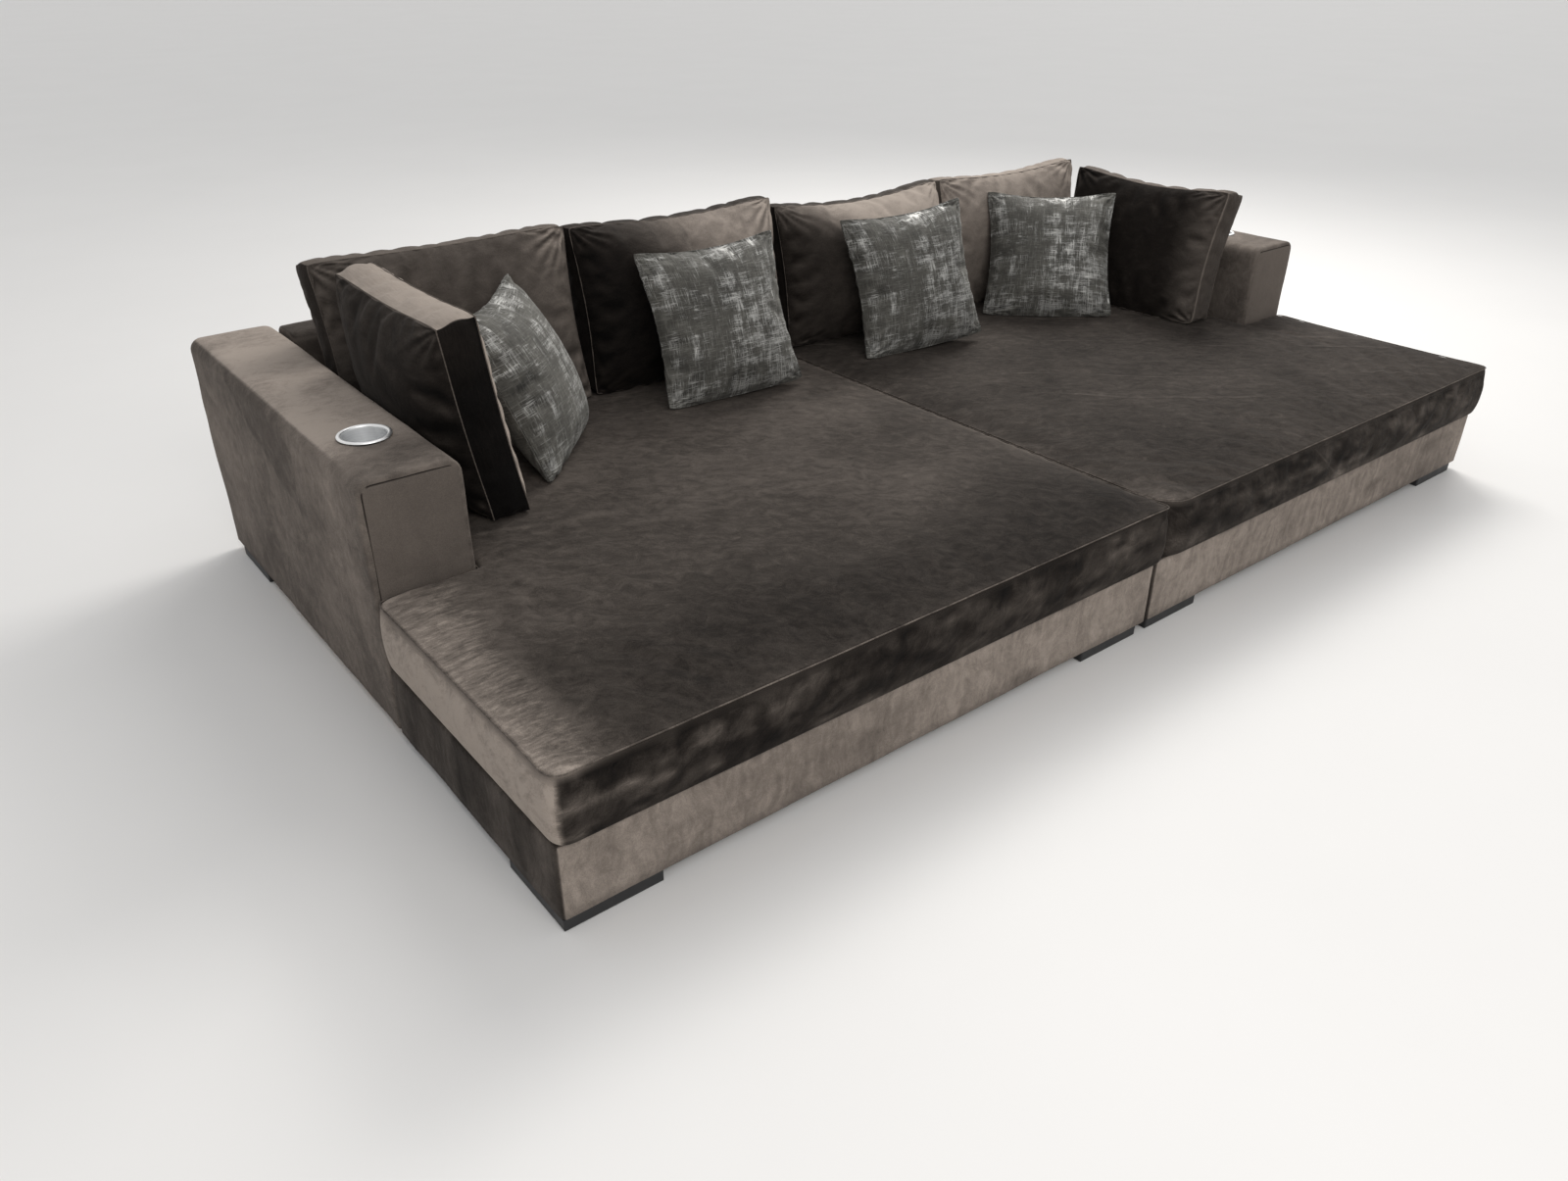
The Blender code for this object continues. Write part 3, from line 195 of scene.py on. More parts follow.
# Cup holder profile
CUP_RIM_RADIUS = 0.059
CUP_MOUTH_RADIUS = 0.052
CUP_BODY_RADIUS = 0.050
CUP_HOLE_RADIUS = 0.0512
CUP_HOLE_DEPTH = 0.16
CUP_DEPTH = 0.070
CUP_WALL = 0.0015
CUP_SEAT = 0.0035
CUP_ROLL = 0.0033
CUP_FLOOR_ROUNDS = (0.008, 0.007)
CUP_STEPS = 96

# Cloth
CLOTH_SETTINGS = {"quality": 4, "mass": 0.25, "tension_stiffness": 18, "compression_stiffness": 18,
                  "shear_stiffness": 6, "bending_stiffness": 0.4, "vertex_group_mass": "held",
                  "use_pressure": True}
CLOTH_FRAMES = 20
CLOTH_CAP = 0.026
CUSHION_PRESSURE = 6
SEAT_PRESSURE = 2.5
SEAT_GROWTH = 0.022
SEAM_RADIUS = 0.0016
SEAM_SIDES = 6
CLEAR = 0.0008
PRESS_REACH = 0.06
RELIEF_ROUNDS = 10
RELIEF_LIGHT = (-0.30, -0.25, 0.92)
RELIEF_CAP = 0.30
TINY = 1e-9

SIDES = {"left": -1, "right": 1}


# Noise, meshes and pieces


def lattice(cells, seed):
    """A repeatable number from -1 to 1 for each whole-number cell."""
    mixed = (cells * np.array([73856093, 19349663, 83492791])).sum(-1) + seed * 2654435761
    mixed = ((mixed ^ (mixed >> 13)) * 1274126177) & 0xFFFFFFFF
    mixed = mixed ^ (mixed >> 15)
    return (mixed & 0xFFFF) / 32767.5 - 1


def soft_noise(points, size, seed=0):
    """Smooth noise from -1 to 1 with blobs of about the given size, or one size for each axis."""
    scaled = np.asarray(points, float) / np.asarray(size, float)
    cells = np.floor(scaled).astype(np.int64)
    share = scaled - cells
    share = share * share * (3 - 2 * share)
    total = 0
    for corner in np.ndindex(2, 2, 2):
        weight = np.where(corner, share, 1 - share).prod(-1)
        total = total + weight * lattice(cells + np.array(corner), seed)
    return total


def smoothstep(low, high, value):
    t = np.clip((value - low) / (high - low), 0, 1)
    return t * t * (3 - 2 * t)


def unit(vectors):
    return vectors / np.maximum(np.linalg.norm(vectors, axis=1, keepdims=True), TINY)


def mesh_edges(faces):
    pairs = {tuple(sorted((face[k], face[(k + 1) % len(face)]))) for face in faces for k in range(len(face))}
    return np.array(sorted(pairs))


def smoothed(values, edges, rounds):
    """Each value moves half way to the mean of its neighbours, several times."""
    count = np.maximum(np.bincount(edges.ravel(), minlength=len(values)), 1)[:, None]
    for _ in range(rounds):
        total = np.zeros_like(values)
        np.add.at(total, edges[:, 0], values[edges[:, 1]])
        np.add.at(total, edges[:, 1], values[edges[:, 0]])
        values = (values + total / count) / 2
    return values


def placed(name, data):
    item = bpy.data.objects.new(name, data)
    bpy.context.scene.collection.objects.link(item)
    return item


def mesh_object(name, points, faces):
    mesh = bpy.data.meshes.new(name)
    mesh.from_pydata([tuple(point) for point in points], [], [tuple(face) for face in faces])
    mesh.update()
    return placed(name, mesh)


def bmesh_object(name, bm):
    mesh = bpy.data.meshes.new(name)
    bm.to_mesh(mesh)
    bm.free()
    return placed(name, mesh)


def discard(item):
    mesh = item.data
    bpy.data.objects.remove(item)
    bpy.data.meshes.remove(mesh)


def paint(item, painted_sheen, cloth):
    """Stores the pile's painted sheen and shade, and where each point is on the cloth, in metres."""
    attributes = item.data.attributes
    for name in ("painted_sheen", "cloth"):
        if name in attributes:
            attributes.remove(attributes[name])
    attributes.new("painted_sheen", "FLOAT", "POINT").data.foreach_set("value", np.clip(painted_sheen, 0, 1).astype(np.float32))
    places = np.asarray(cloth, np.float32).ravel()
    attributes.new("cloth", "FLOAT_VECTOR", "POINT").data.foreach_set("vector", places)


def bands(lanes):
    """Faces between each closed loop of points and the next."""
    faces = []
    for lane, following in zip(lanes, lanes[1:]):
        for here in range(len(lane)):
            there = (here + 1) % len(lane)
            faces.append([lane[here], following[here], following[there], lane[there]])
    return faces


def tube(path, outward, radius):
    """Points and faces of a thin closed tube along a closed path, as for a seam."""
    along = unit(np.roll(path, -1, 0) - np.roll(path, 1, 0))
    across = unit(outward - (outward * along).sum(1, keepdims=True) * along)
    third = np.cross(along, across)
    rings = []
    for side in range(SEAM_SIDES):
        angle = math.tau * side / SEAM_SIDES
        rings.append(path + radius * (math.cos(angle) * across + math.sin(angle) * third))
    faces = []
    for here in range(len(path)):
        there = (here + 1) % len(path)
        for side in range(SEAM_SIDES):
            after = (side + 1) % SEAM_SIDES
            faces.append((here * SEAM_SIDES + side, here * SEAM_SIDES + after,
                          there * SEAM_SIDES + after, there * SEAM_SIDES + side))
    return np.stack(rings, 1).reshape(-1, 3), faces


def seam_piece(name, node, material, path, outward, painted_sheen, cloth):
    """A thin bead of cloth along a seam, with one even painted sheen, which rides with its cushion."""
    bead, faces = tube(path, outward, SEAM_RADIUS)
    item = mesh_object(name, bead, faces)
    paint(item, np.full(len(bead), painted_sheen), np.repeat(cloth, SEAM_SIDES, 0))
    item.data.materials.append(material)
    item.data.shade_smooth()
    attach(item, frame["nodes"][node]["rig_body"])


def dress(item, node, material, fill=None):
    """Finishes a piece: its material, smoothing where it is filled and its body, and hides the node it stands
    for.
    """
    item.data.materials.clear()
    item.data.materials.append(material)
    item.data.shade_smooth()
    if fill is not None:
        modifier = item.modifiers.new("smooth surface", "SUBSURF")
        modifier.levels = modifier.render_levels = 1
        modifier.boundary_smooth = "PRESERVE_CORNERS"
    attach(item, frame["nodes"][node]["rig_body"])
    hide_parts(node)
    return item


# Cloth


def simulate(points, faces, held, growth, pressure):
    """Cloth with some spare length settles under pressure from inside, held at its seams."""
    item = mesh_object("cloth", points, faces)
    group = item.vertex_groups.new(name="held")
    group.add([int(k) for k in np.nonzero(held)[0]], 1.0, "REPLACE")
    modifier = item.modifiers.new("cloth", "CLOTH")
    for name, value in CLOTH_SETTINGS.items():
        setattr(modifier.settings, name, value)
    modifier.settings.shrink_min = -growth
    modifier.settings.uniform_pressure_force = pressure
    modifier.settings.effector_weights.gravity = 0
    modifier.collision_settings.use_collision = False
    modifier.collision_settings.use_self_collision = False
    modifier.point_cache.frame_start = 1
    modifier.point_cache.frame_end = CLOTH_FRAMES
    scene = bpy.context.scene
    for number in range(1, CLOTH_FRAMES + 1):
        scene.frame_set(number)
    settled = item.evaluated_get(bpy.context.evaluated_depsgraph_get())
    result = np.zeros(len(points) * 3, np.float32)
    settled.data.vertices.foreach_get("co", result)
    scene.frame_set(1)
    discard(item)
    return result.reshape(-1, 3).astype(float)


def wrinkled(points, faces, held, growth, pressure, keep, gain, rounds):
    """Adds the creases of a cloth simulation to a form, and only a share of its overall swelling."""
    moved = np.nan_to_num(simulate(points, faces, held, growth, pressure) - points)
    slow = smoothed(moved, mesh_edges(faces), rounds)
    change = gain * (moved - slow) + keep * slow
    length = np.linalg.norm(change, axis=1, keepdims=True)
    return points + change * np.minimum(1, CLOTH_CAP / np.maximum(length, TINY))


def points_and_normals(mesh):
    points = np.array([vertex.co[:] for vertex in mesh.vertices])
    return points, np.array([vertex.normal[:] for vertex in mesh.vertices])


def painted_fold_light(item, faces):
    """Painted light and shade on small folds: how much more each point faces a fixed light than what
    surrounds it.
    """
    normals = points_and_normals(item.data)[1]
    change = normals - smoothed(normals, mesh_edges(faces), RELIEF_ROUNDS)
    return np.clip(change @ np.array(RELIEF_LIGHT), -RELIEF_CAP, RELIEF_CAP)


def tree_of(points, faces):
    return BVHTree.FromPolygons([tuple(point) for point in points], [tuple(face) for face in faces])


def node_tree(node):
    mesh = frame["nodes"][node].data
    return tree_of([vertex.co for vertex in mesh.vertices], [face.vertices for face in mesh.polygons])


def press_clear(points, supports):
    """Points inside a support move out to its surface, so that two soft pieces flatten on each other."""
    points = points.copy()
    for support in supports:
        for number, point in enumerate(points):
            found = support.find_nearest(Vector(point), PRESS_REACH)
            if found[0] is None:
                continue
            height = (Vector(point) - found[0]).dot(found[1])
            if height < CLEAR:
                points[number] += np.array(found[1]) * (CLEAR - height)
    return points


# Materials


class Nodes:
    """A short way to wire a node material."""

    def __init__(self, name):
        self.material = bpy.data.materials.new(name)
        self.material.use_nodes = True
        self.tree = self.material.node_tree
        self.shader = self.tree.nodes["Principled BSDF"]

    def put(self, target, value):
        if isinstance(value, bpy.types.NodeSocket):
            self.tree.links.new(value, target)
        else:
            target.default_value = value

    def node(self, kind, inputs=(), **settings):
        made = self.tree.nodes.new(kind)
        for key, value in settings.items():
            setattr(made, key, value)
        for key, value in dict(inputs).items():
            self.put(made.inputs[key], value)
        return made

    def math(self, operation, a, b=0.0, clamp=False):
        return self.node("ShaderNodeMath", {0: a, 1: b}, operation=operation, use_clamp=clamp).outputs[0]

    def shifted(self, value, pattern, amount, middle=0.5, clamp=False):
        """The value plus the pattern's distance from its middle, times the amount."""
        change = self.math("MULTIPLY", self.math("SUBTRACT", pattern, middle), amount)
        return self.math("ADD", value, change, clamp)

    def attribute(self, name, output="Vector"):
        return self.node("ShaderNodeAttribute", attribute_name=name).outputs[output]

    def place(self):
        return self.node("ShaderNodeTexCoord").outputs["Object"]

    def mapped(self, vector, scale, turn=0.0):
        """The vector on axes turned about Z, then scaled along each of them."""
        made = self.node("ShaderNodeMapping", {"Vector": vector}, vector_type="TEXTURE")
        made.inputs["Scale"].default_value = [1 / value for value in scale]
        made.inputs["Rotation"].default_value = (0, 0, turn)
        return made.outputs[0]

    def warped(self, vector, scale, amount):
        """The vector pushed about by a slow noise, so that what is drawn on it wanders."""
        noise = self.node("ShaderNodeTexNoise", {"Vector": vector, "Scale": scale, "Detail": 2.0})
        centred = self.node("ShaderNodeVectorMath", {0: vector, 1: (amount,) * 3}, operation="SUBTRACT")
        moved = self.node("ShaderNodeVectorMath", {0: noise.outputs["Color"], 1: (2 * amount,) * 3,
                                                   2: centred.outputs[0]}, operation="MULTIPLY_ADD")
        return moved.outputs[0]

    def noise(self, vector, scale=1.0, detail=4.0, roughness=0.55, distortion=0.0):
        made = self.node("ShaderNodeTexNoise", {"Vector": vector, "Scale": scale, "Detail": detail,
                                                "Roughness": roughness, "Distortion": distortion})
        return made.outputs["Fac"]

    def between(self, value, low, high, to_low=0.0, to_high=1.0):
        made = self.node("ShaderNodeMapRange", {"Value": value, "From Min": low, "From Max": high,
                                                "To Min": to_low, "To Max": to_high},
                         interpolation_type="SMOOTHSTEP")
        return made.outputs[0]

    def ramp(self, value, stops):
        made = self.node("ShaderNodeValToRGB", {"Fac": value})
        elements = made.color_ramp.elements
        while len(elements) < len(stops):
            elements.new(0.5)
        for element, (place, colour) in zip(elements, stops):
            element.position = place
            element.color = (*colour, 1)
        return made.outputs["Color"]

    def mix(self, share, a, b):
        return self.node("ShaderNodeMix", {0: share, 6: a, 7: b}, data_type="RGBA").outputs[2]

    def bump(self, heights):
        """Stacks bumps, each a height, a strength and a depth in metres."""
        normal = None
        for height, strength, depth in heights:
            made = self.node("ShaderNodeBump", {"Height": height, "Strength": strength, "Distance": depth})
            if normal is not None:
                self.put(made.inputs["Normal"], normal)
            normal = made.outputs["Normal"]
        self.put(self.shader.inputs["Normal"], normal)

    def finish(self, **values):
        for key, value in values.items():
            self.put(self.shader.inputs[key.replace("_", " ")], value)
        return self.material


# Velvet colours from painted shade at 0 to painted sheen at 1
VELVET_SHADE_TO_SHEEN = (
    (0.00, (0.0022, 0.0017, 0.0015)),
    (0.20, (0.0150, 0.0118, 0.0098)),
    (0.40, (0.0440, 0.0365, 0.0310)),
    (0.60, (0.0960, 0.0805, 0.0690)),
    (0.80, (0.1950, 0.1640, 0.1400)),
    (1.00, (0.3600, 0.3060, 0.2620)),
)
# Ground colours of the print from painted shade at 0 to painted sheen at 1
FOIL_GROUND_SHADE_TO_SHEEN = (
    (0.0, (0.020, 0.0190, 0.0165)),
    (0.5, (0.074, 0.070, 0.060)),
    (1.0, (0.165, 0.158, 0.138)),
)
FEATHER_TURN = math.radians(-12)


def velvet(name, mottle, blotch, streak, streak_size=(30, 8, 12), turn=0.0, crease_highlight=0.0, fibre=0.07,
           feather=0.0):
    """Cut velvet: its tone follows the pile's painted sheen and shade, and the pile lies in clouds, ragged
    blotches and brush marks, with creases painted as thin light lines and a fine fibre.
    """
    nodes = Nodes(name)
    place, cloth = nodes.place(), nodes.attribute("cloth")
    clouds = nodes.noise(place, 3.2, detail=3, roughness=0.5, distortion=0.4)
    loose = nodes.warped(cloth, 9, 0.035)
    blotches = nodes.noise(nodes.mapped(loose, (26, 38, 30), turn), detail=7, roughness=0.70, distortion=0.5)
    brushed = nodes.noise(nodes.mapped(loose, streak_size, turn), detail=5, roughness=0.68, distortion=0.2)
    fibres = nodes.noise(nodes.mapped(cloth, (620, 240, 620), turn), detail=2, roughness=0.6)
    # The pile's painted sheen and shade, stored on each piece's points
    painted_sheen = nodes.attribute("painted_sheen", "Fac")
    if feather:
        tufts = nodes.noise(nodes.mapped(cloth, (22, 110, 60), FEATHER_TURN), detail=5, roughness=0.65)
        edge = nodes.math("MULTIPLY", nodes.between(painted_sheen, 0.46, 0.60), nodes.between(painted_sheen, 0.98, 0.74))
        edge = nodes.math("MULTIPLY", edge, nodes.math("SUBTRACT", tufts, 0.5))
        painted_sheen = nodes.math("ADD", painted_sheen, nodes.math("MULTIPLY", edge, 4 * feather))
    for pattern, amount in ((clouds, mottle), (blotches, blotch), (brushed, streak), (fibres, fibre)):
        painted_sheen = nodes.shifted(painted_sheen, pattern, 4 * amount)
    rumpled = nodes.noise(nodes.mapped(loose, (26, 40, 26), turn), detail=4, roughness=0.6, distortion=0.8)
    heights = [(rumpled, 0.30, 0.006)]
    # Creases painted as thin light lines, with a matching bump
    if crease_highlight:
        wandering = nodes.warped(cloth, 1.3, 0.10)
        lines = nodes.noise(nodes.mapped(wandering, (0.55, 3.6, 1), turn), detail=0, roughness=0.5)
        ridge = nodes.math("ABSOLUTE", nodes.math("SUBTRACT", lines, 0.5))
        where = nodes.between(nodes.noise(place, 2.1, detail=3, roughness=0.6), 0.46, 0.66)
        ridge = nodes.math("MULTIPLY", nodes.between(ridge, 0.0, 0.018, 1.0, 0.0), where)
        painted_sheen = nodes.math("ADD", painted_sheen, nodes.math("MULTIPLY", ridge, crease_highlight))
        heights.append((ridge, 0.5, 0.003))
    heights.append((fibres, 0.25, 0.0012))
    colour = nodes.ramp(nodes.math("ADD", painted_sheen, 0.0, clamp=True), VELVET_SHADE_TO_SHEEN)
    nodes.bump(heights)
    return nodes.finish(Base_Color=colour, Roughness=0.90, Sheen_Weight=0.06, Sheen_Roughness=0.35,
                        Sheen_Tint=(0.80, 0.72, 0.66, 1), Specular_IOR_Level=0.12)


def foil_print():
    """Olive-grey velvet with a worn silver crosshatch."""
    nodes = Nodes("foil print")
    cloth = nodes.attribute("cloth")
    across = nodes.noise(nodes.mapped(cloth, (34, 430, 9)), detail=4, roughness=0.62, distortion=0.1)
    upright = nodes.noise(nodes.mapped(cloth, (430, 34, 9)), detail=4, roughness=0.62, distortion=0.1)
    clouds = nodes.noise(nodes.mapped(cloth, (9, 12, 9)), detail=4, roughness=0.6, distortion=0.4)
    bars_across = nodes.noise(nodes.mapped(cloth, (5, 52, 9)), detail=3, roughness=0.6)
    bars_upright = nodes.noise(nodes.mapped(cloth, (52, 5, 9)), detail=3, roughness=0.6)
    bars = nodes.math("MULTIPLY", nodes.math("ADD", bars_across, bars_upright), 0.55)
    dense = nodes.between(nodes.math("ADD", clouds, bars), 0.86, 1.36)
    thread = nodes.math("MAXIMUM", across, upright)
    foil = nodes.between(nodes.math("ADD", thread, nodes.math("MULTIPLY", dense, 0.20)), 0.56, 0.86)
    foil = nodes.math("MULTIPLY", foil, nodes.between(dense, 0.02, 0.75, 0.25, 1.0))
    fibres = nodes.noise(nodes.mapped(cloth, (640, 640, 64)), detail=2, roughness=0.6)
    patches = nodes.noise(nodes.place(), 9, detail=4, roughness=0.6, distortion=0.4)
    # The ground takes the pile's painted sheen and shade, shifted by patches, fibres and the printed thread
    painted_sheen = nodes.shifted(nodes.attribute("painted_sheen", "Fac"), patches, 1.0)
    painted_sheen = nodes.shifted(painted_sheen, fibres, 0.5)
    painted_sheen = nodes.shifted(painted_sheen, thread, 1.6, middle=0.55, clamp=True)
    colour = nodes.mix(foil, nodes.ramp(painted_sheen, FOIL_GROUND_SHADE_TO_SHEEN), (0.52, 0.515, 0.49, 1))
    nodes.bump([(thread, 0.35, 0.0012), (foil, 0.15, 0.0008)])
    return nodes.finish(Base_Color=colour, Roughness=nodes.between(foil, 0, 1, 0.85, 0.42),
                        Metallic=nodes.between(foil, 0.2, 1, 0.0, 0.55), Sheen_Weight=0.12,
                        Sheen_Roughness=0.4, Sheen_Tint=(0.7, 0.7, 0.66, 1))


def brushed_metal(name, colour, roughness, scale):
    nodes = Nodes(name)
    lines = nodes.noise(nodes.mapped(nodes.place(), scale), detail=3, roughness=0.6)
    darker = (*(0.82 * channel for channel in colour), 1)
    tone = nodes.mix(nodes.between(lines, 0.2, 0.8), darker, (*colour, 1))
    nodes.bump([(lines, 0.12, 0.0003)])
    uneven = nodes.between(lines, 0.2, 0.8, roughness - 0.06, roughness + 0.08)
    return nodes.finish(Base_Color=tone, Metallic=1.0, Roughness=uneven)


def timber():
    """Planed softwood with growth lines along its rails."""
    nodes = Nodes("timber")
    place = nodes.place()
    grain = nodes.noise(nodes.mapped(place, (3, 40, 40)), detail=6, roughness=0.6, distortion=1.2)
    knots = nodes.noise(place, 7, detail=2, roughness=0.5)
    tones = ((0.25, (0.40, 0.25, 0.12)), (0.5, (0.56, 0.38, 0.20)), (0.75, (0.66, 0.48, 0.28)))
    colour = nodes.mix(nodes.between(knots, 0.66, 0.74), nodes.ramp(grain, tones), (0.26, 0.14, 0.06, 1))
    nodes.bump([(grain, 0.2, 0.0008)])
    return nodes.finish(Base_Color=colour, Roughness=0.62)


def woven(name, dark, light, threads):
    """A plain weave or a non-woven cloth, by the size of its threads."""
    nodes = Nodes(name)
    place = nodes.place()
    weave = nodes.node("ShaderNodeTexChecker", {"Vector": place, "Scale": threads}).outputs["Fac"]
    cloudy = nodes.noise(place, 30, detail=4, roughness=0.6)
    share = nodes.math("ADD", nodes.math("MULTIPLY", weave, 0.4), nodes.math("MULTIPLY", cloudy, 0.6))
    nodes.bump([(weave, 0.4, 0.0006)])
    return nodes.finish(Base_Color=nodes.mix(share, (*dark, 1), (*light, 1)), Roughness=0.85)


def foam():
    nodes = Nodes("foam")
    cells = nodes.node("ShaderNodeTexVoronoi", {"Vector": nodes.place(), "Scale": 420}).outputs["Distance"]
    colour = nodes.ramp(cells, ((0.0, (0.52, 0.46, 0.26)), (0.6, (0.82, 0.77, 0.55))))
    nodes.bump([(cells, 0.5, 0.001)])
    return nodes.finish(Base_Color=colour, Roughness=0.95)


def black_plastic():
    nodes = Nodes("matt black plastic")
    speckle = nodes.noise(nodes.place(), 900, detail=2, roughness=0.5)
    scuffs = nodes.noise(nodes.place(), 18, detail=5, roughness=0.7)
    colour = nodes.mix(nodes.between(scuffs, 0.5, 0.8), (0.012, 0.012, 0.013, 1), (0.030, 0.030, 0.031, 1))
    nodes.bump([(speckle, 0.25, 0.0004)])
    return nodes.finish(Base_Color=colour, Roughness=nodes.between(scuffs, 0.3, 0.7, 0.48, 0.62))


def floor_paint():
    """A slightly uneven pale floor."""
    nodes = Nodes("pale floor")
    uneven = nodes.noise(nodes.place(), 1.2, detail=4, roughness=0.6)
    colour = nodes.mix(uneven, (0.80, 0.785, 0.765, 1), (0.84, 0.825, 0.805, 1))
    return nodes.finish(Base_Color=colour, Roughness=0.55, Specular_IOR_Level=0.3)


# Loose cushions


def cushion_grid(columns, rows, strips):
    """A cushion's front, rear and boxing: u, v and depth from -1 to 1, faces and closed loops of points."""
    u_line = np.sin(math.pi / 2 * np.linspace(-1, 1, columns + 1))
    v_line = np.sin(math.pi / 2 * np.linspace(-1, 1, rows + 1))
    values, front, rear, faces = [], {}, {}, []
    for known, depth in ((front, -1), (rear, 1)):
        for i in range(columns + 1):
            for j in range(rows + 1):
                known[i, j] = len(values)
                values.append((u_line[i], v_line[j], depth))
    for i in range(columns):
        for j in range(rows):
            around = ((i, j), (i + 1, j), (i + 1, j + 1), (i, j + 1))
            faces.append([front[at] for at in around])
            faces.append([rear[at] for at in reversed(around)])
    loop = [(i, 0) for i in range(columns)] + [(columns, j) for j in range(rows)]
    loop += [(i, rows) for i in range(columns, 0, -1)] + [(0, j) for j in range(rows, 0, -1)]
    lanes = [[front[at] for at in loop]]
    for strip in range(1, strips):
        lanes.append(list(range(len(values), len(values) + len(loop))))
        values += [(u_line[i], v_line[j], 2 * strip / strips - 1) for i, j in loop]
    lanes.append([rear[at] for at in loop])
    return np.array(values), faces + bands(lanes), lanes


def local_frame(node, turn):
    """A leaning cushion's own axes, and its lowest and highest corner on them."""
    yaw, lean, roll = map(math.radians, turn)
    turned = Matrix.Rotation(yaw, 3, "Z") @ Matrix.Rotation(-lean, 3, "X") @ Matrix.Rotation(roll, 3, "Y")
    axes = np.array(turned)
    points = points_and_normals(frame["nodes"][node].data)[0] @ axes
    return axes, points.min(0), points.max(0)


def star_folds(u, v, corner, count, seed, spread=0.32):
    """Folds that fan out from a corner and fade along their length."""
    du, dv = (u - corner[0]), (v - corner[1])
    reach = np.hypot(du, dv)
    angle = np.arctan2(np.abs(dv), np.abs(du))
    phase = soft_noise(np.stack([angle * 2.2, reach * 0.5, 0 * u], 1), 1.0, seed) * 2.4
    return np.sin(angle * count * 2 + phase) * np.exp(-reach / spread) * smoothstep(0.02, 0.22, reach)


def rear_arcs(u, v, hem):
    """Wide arcs around an upper corner, as on the outer face of the left side cushion."""
    reach = np.hypot(u + 1, v - 1)
    return ARC_DEPTH * np.sin(17 * reach + 1.5 * hem) * smoothstep(0.3, 0.8, reach)


def loose_cushion(kind, place, supports):
    """One filled cushion in the space of its node, with creases, seams and flats against its supports."""
    node = f"{kind}_{place}"
    slot, columns, rows, strips, fill, growth, gain, top_folds, low_folds = KINDS[kind]
    turn, edge, front_crown, rear_crown, draw, sag, corner = FORMS[node]
    boxed = node in BOXED_SHEEN
    material = VELVETS["cushion"] if boxed else FOIL
    axes, low, high = local_frame(node, turn)
    values, faces, lanes = cushion_grid(columns, rows, strips)
    u, v, depth = values.T
    front, rear = depth < -ON_EDGE, depth > ON_EDGE
    rim = (np.abs(u) > ON_EDGE) | (np.abs(v) > ON_EDGE)

    level_rise = edge / 2 * math.tan(math.radians(turn[1])) if boxed else 0
    width, height = high[0] - low[0], high[2] - low[2] - level_rise
    middle = np.array([(low[0] + high[0]) / 2, low[1] + edge / 2 + front_crown, high[2] - height / 2])
    puff = (np.clip(1 - np.abs(u) ** 2.5, 0, 1) * np.clip(1 - np.abs(v) ** 2.5, 0, 1)) ** 0.6
    squared = (np.abs(u) * np.abs(v)) ** 9
    x = u * (width / 2 - draw * (1 - v * v) - corner * squared)
    y = depth * edge / 2 - front * front_crown * puff + rear * rear_crown * puff
    z = v * (height / 2 - corner * squared) - sag * (1 - u * u) * np.maximum(v, 0)
    z = z + depth * level_rise * ((1 - v) / 2) ** 2
    out = unit(np.stack([u * (np.abs(u) > ON_EDGE), 0 * u, v * (np.abs(v) > ON_EDGE)], 1))
    bulge = boxed * BOXING_BULGE * rim * np.cos(depth * math.pi / 2) * smoothstep(-1.0, -0.9, v)
    points = np.stack([x, y, z], 1) + out * bulge[:, None]

    seed = sum(map(ord, node))
    fan = 0
    for number, at in enumerate(CORNERS):
        count, fold_depth = top_folds if at[1] > 0 else low_folds
        fan = fan + fold_depth * star_folds(u, v, at, count, seed + number)
    hem = soft_noise(np.stack([u * width, v * height, 0 * u], 1) * HEM_FINENESS, 1.0, seed + 7)
    edge_near = 1 - np.maximum(np.abs(u), np.abs(v))
    creases = (fan + GATHER_DEPTH * hem * np.exp(-edge_near / 0.16)) * ~rim
    arcs = rear_arcs(u, v, hem) * (rear & ~rim) * (node == "side_cushion_left")
    points[:, 1] += arcs - np.where(front, 1, -1) * creases
    points = wrinkled(points, faces, rim & (front | rear), growth, CUSHION_PRESSURE, 0.06, gain, 24)
    points = press_clear((points + middle) @ axes.T, supports)

    item = mesh_object(node + "_cover", points, faces)
    cloth = np.stack([u * width / 2, v * height / 2, depth * 0.5], 1)
    # Painted sheen of the pile by panel, plus painted shade and light along creases, arcs and folds, and on
    # small folds from a fixed light
    painted_sheen = boxed_sheen(node, u, v, front, rear, rim) if boxed else 0.5 + 25 * fan
    shown = painted_fold_light(item, faces) * smoothstep(0.0, 0.05, edge_near)
    paint(item, painted_sheen + 6 * creases + 26 * arcs + 0.9 * shown, cloth)
    dress(item, node, material, fill)
    outward = points - points.mean(0)
    seams = {"front": lanes[0], "rear": lanes[-1]} if boxed else {"front": lanes[0]}
    for name, lane in seams.items():
        seam_piece(f"{node}_{name}_seam", node, material, points[lane], outward[lane],
                   SEAM_SHEEN if boxed else PILLOW_SEAM_SHEEN, cloth[lane])
    return tree_of(points, faces)


def boxed_sheen(node, u, v, front, rear, rim):
    """A boxed cushion's painted sheen: one lightness for each panel of its cover, with painted shading across
    its front.
    """
    sheen_front, sheen_rear, (left, right, bottom, top) = BOXED_SHEEN[node]
    side = np.select([u < -ON_EDGE, u > ON_EDGE, v < -ON_EDGE], [left, right, bottom], top)
    painted_sheen = np.where(front & ~rim, sheen_front, np.where(rear & ~rim, sheen_rear, side))
    return painted_sheen + cushion_shading(node, u, v, front)


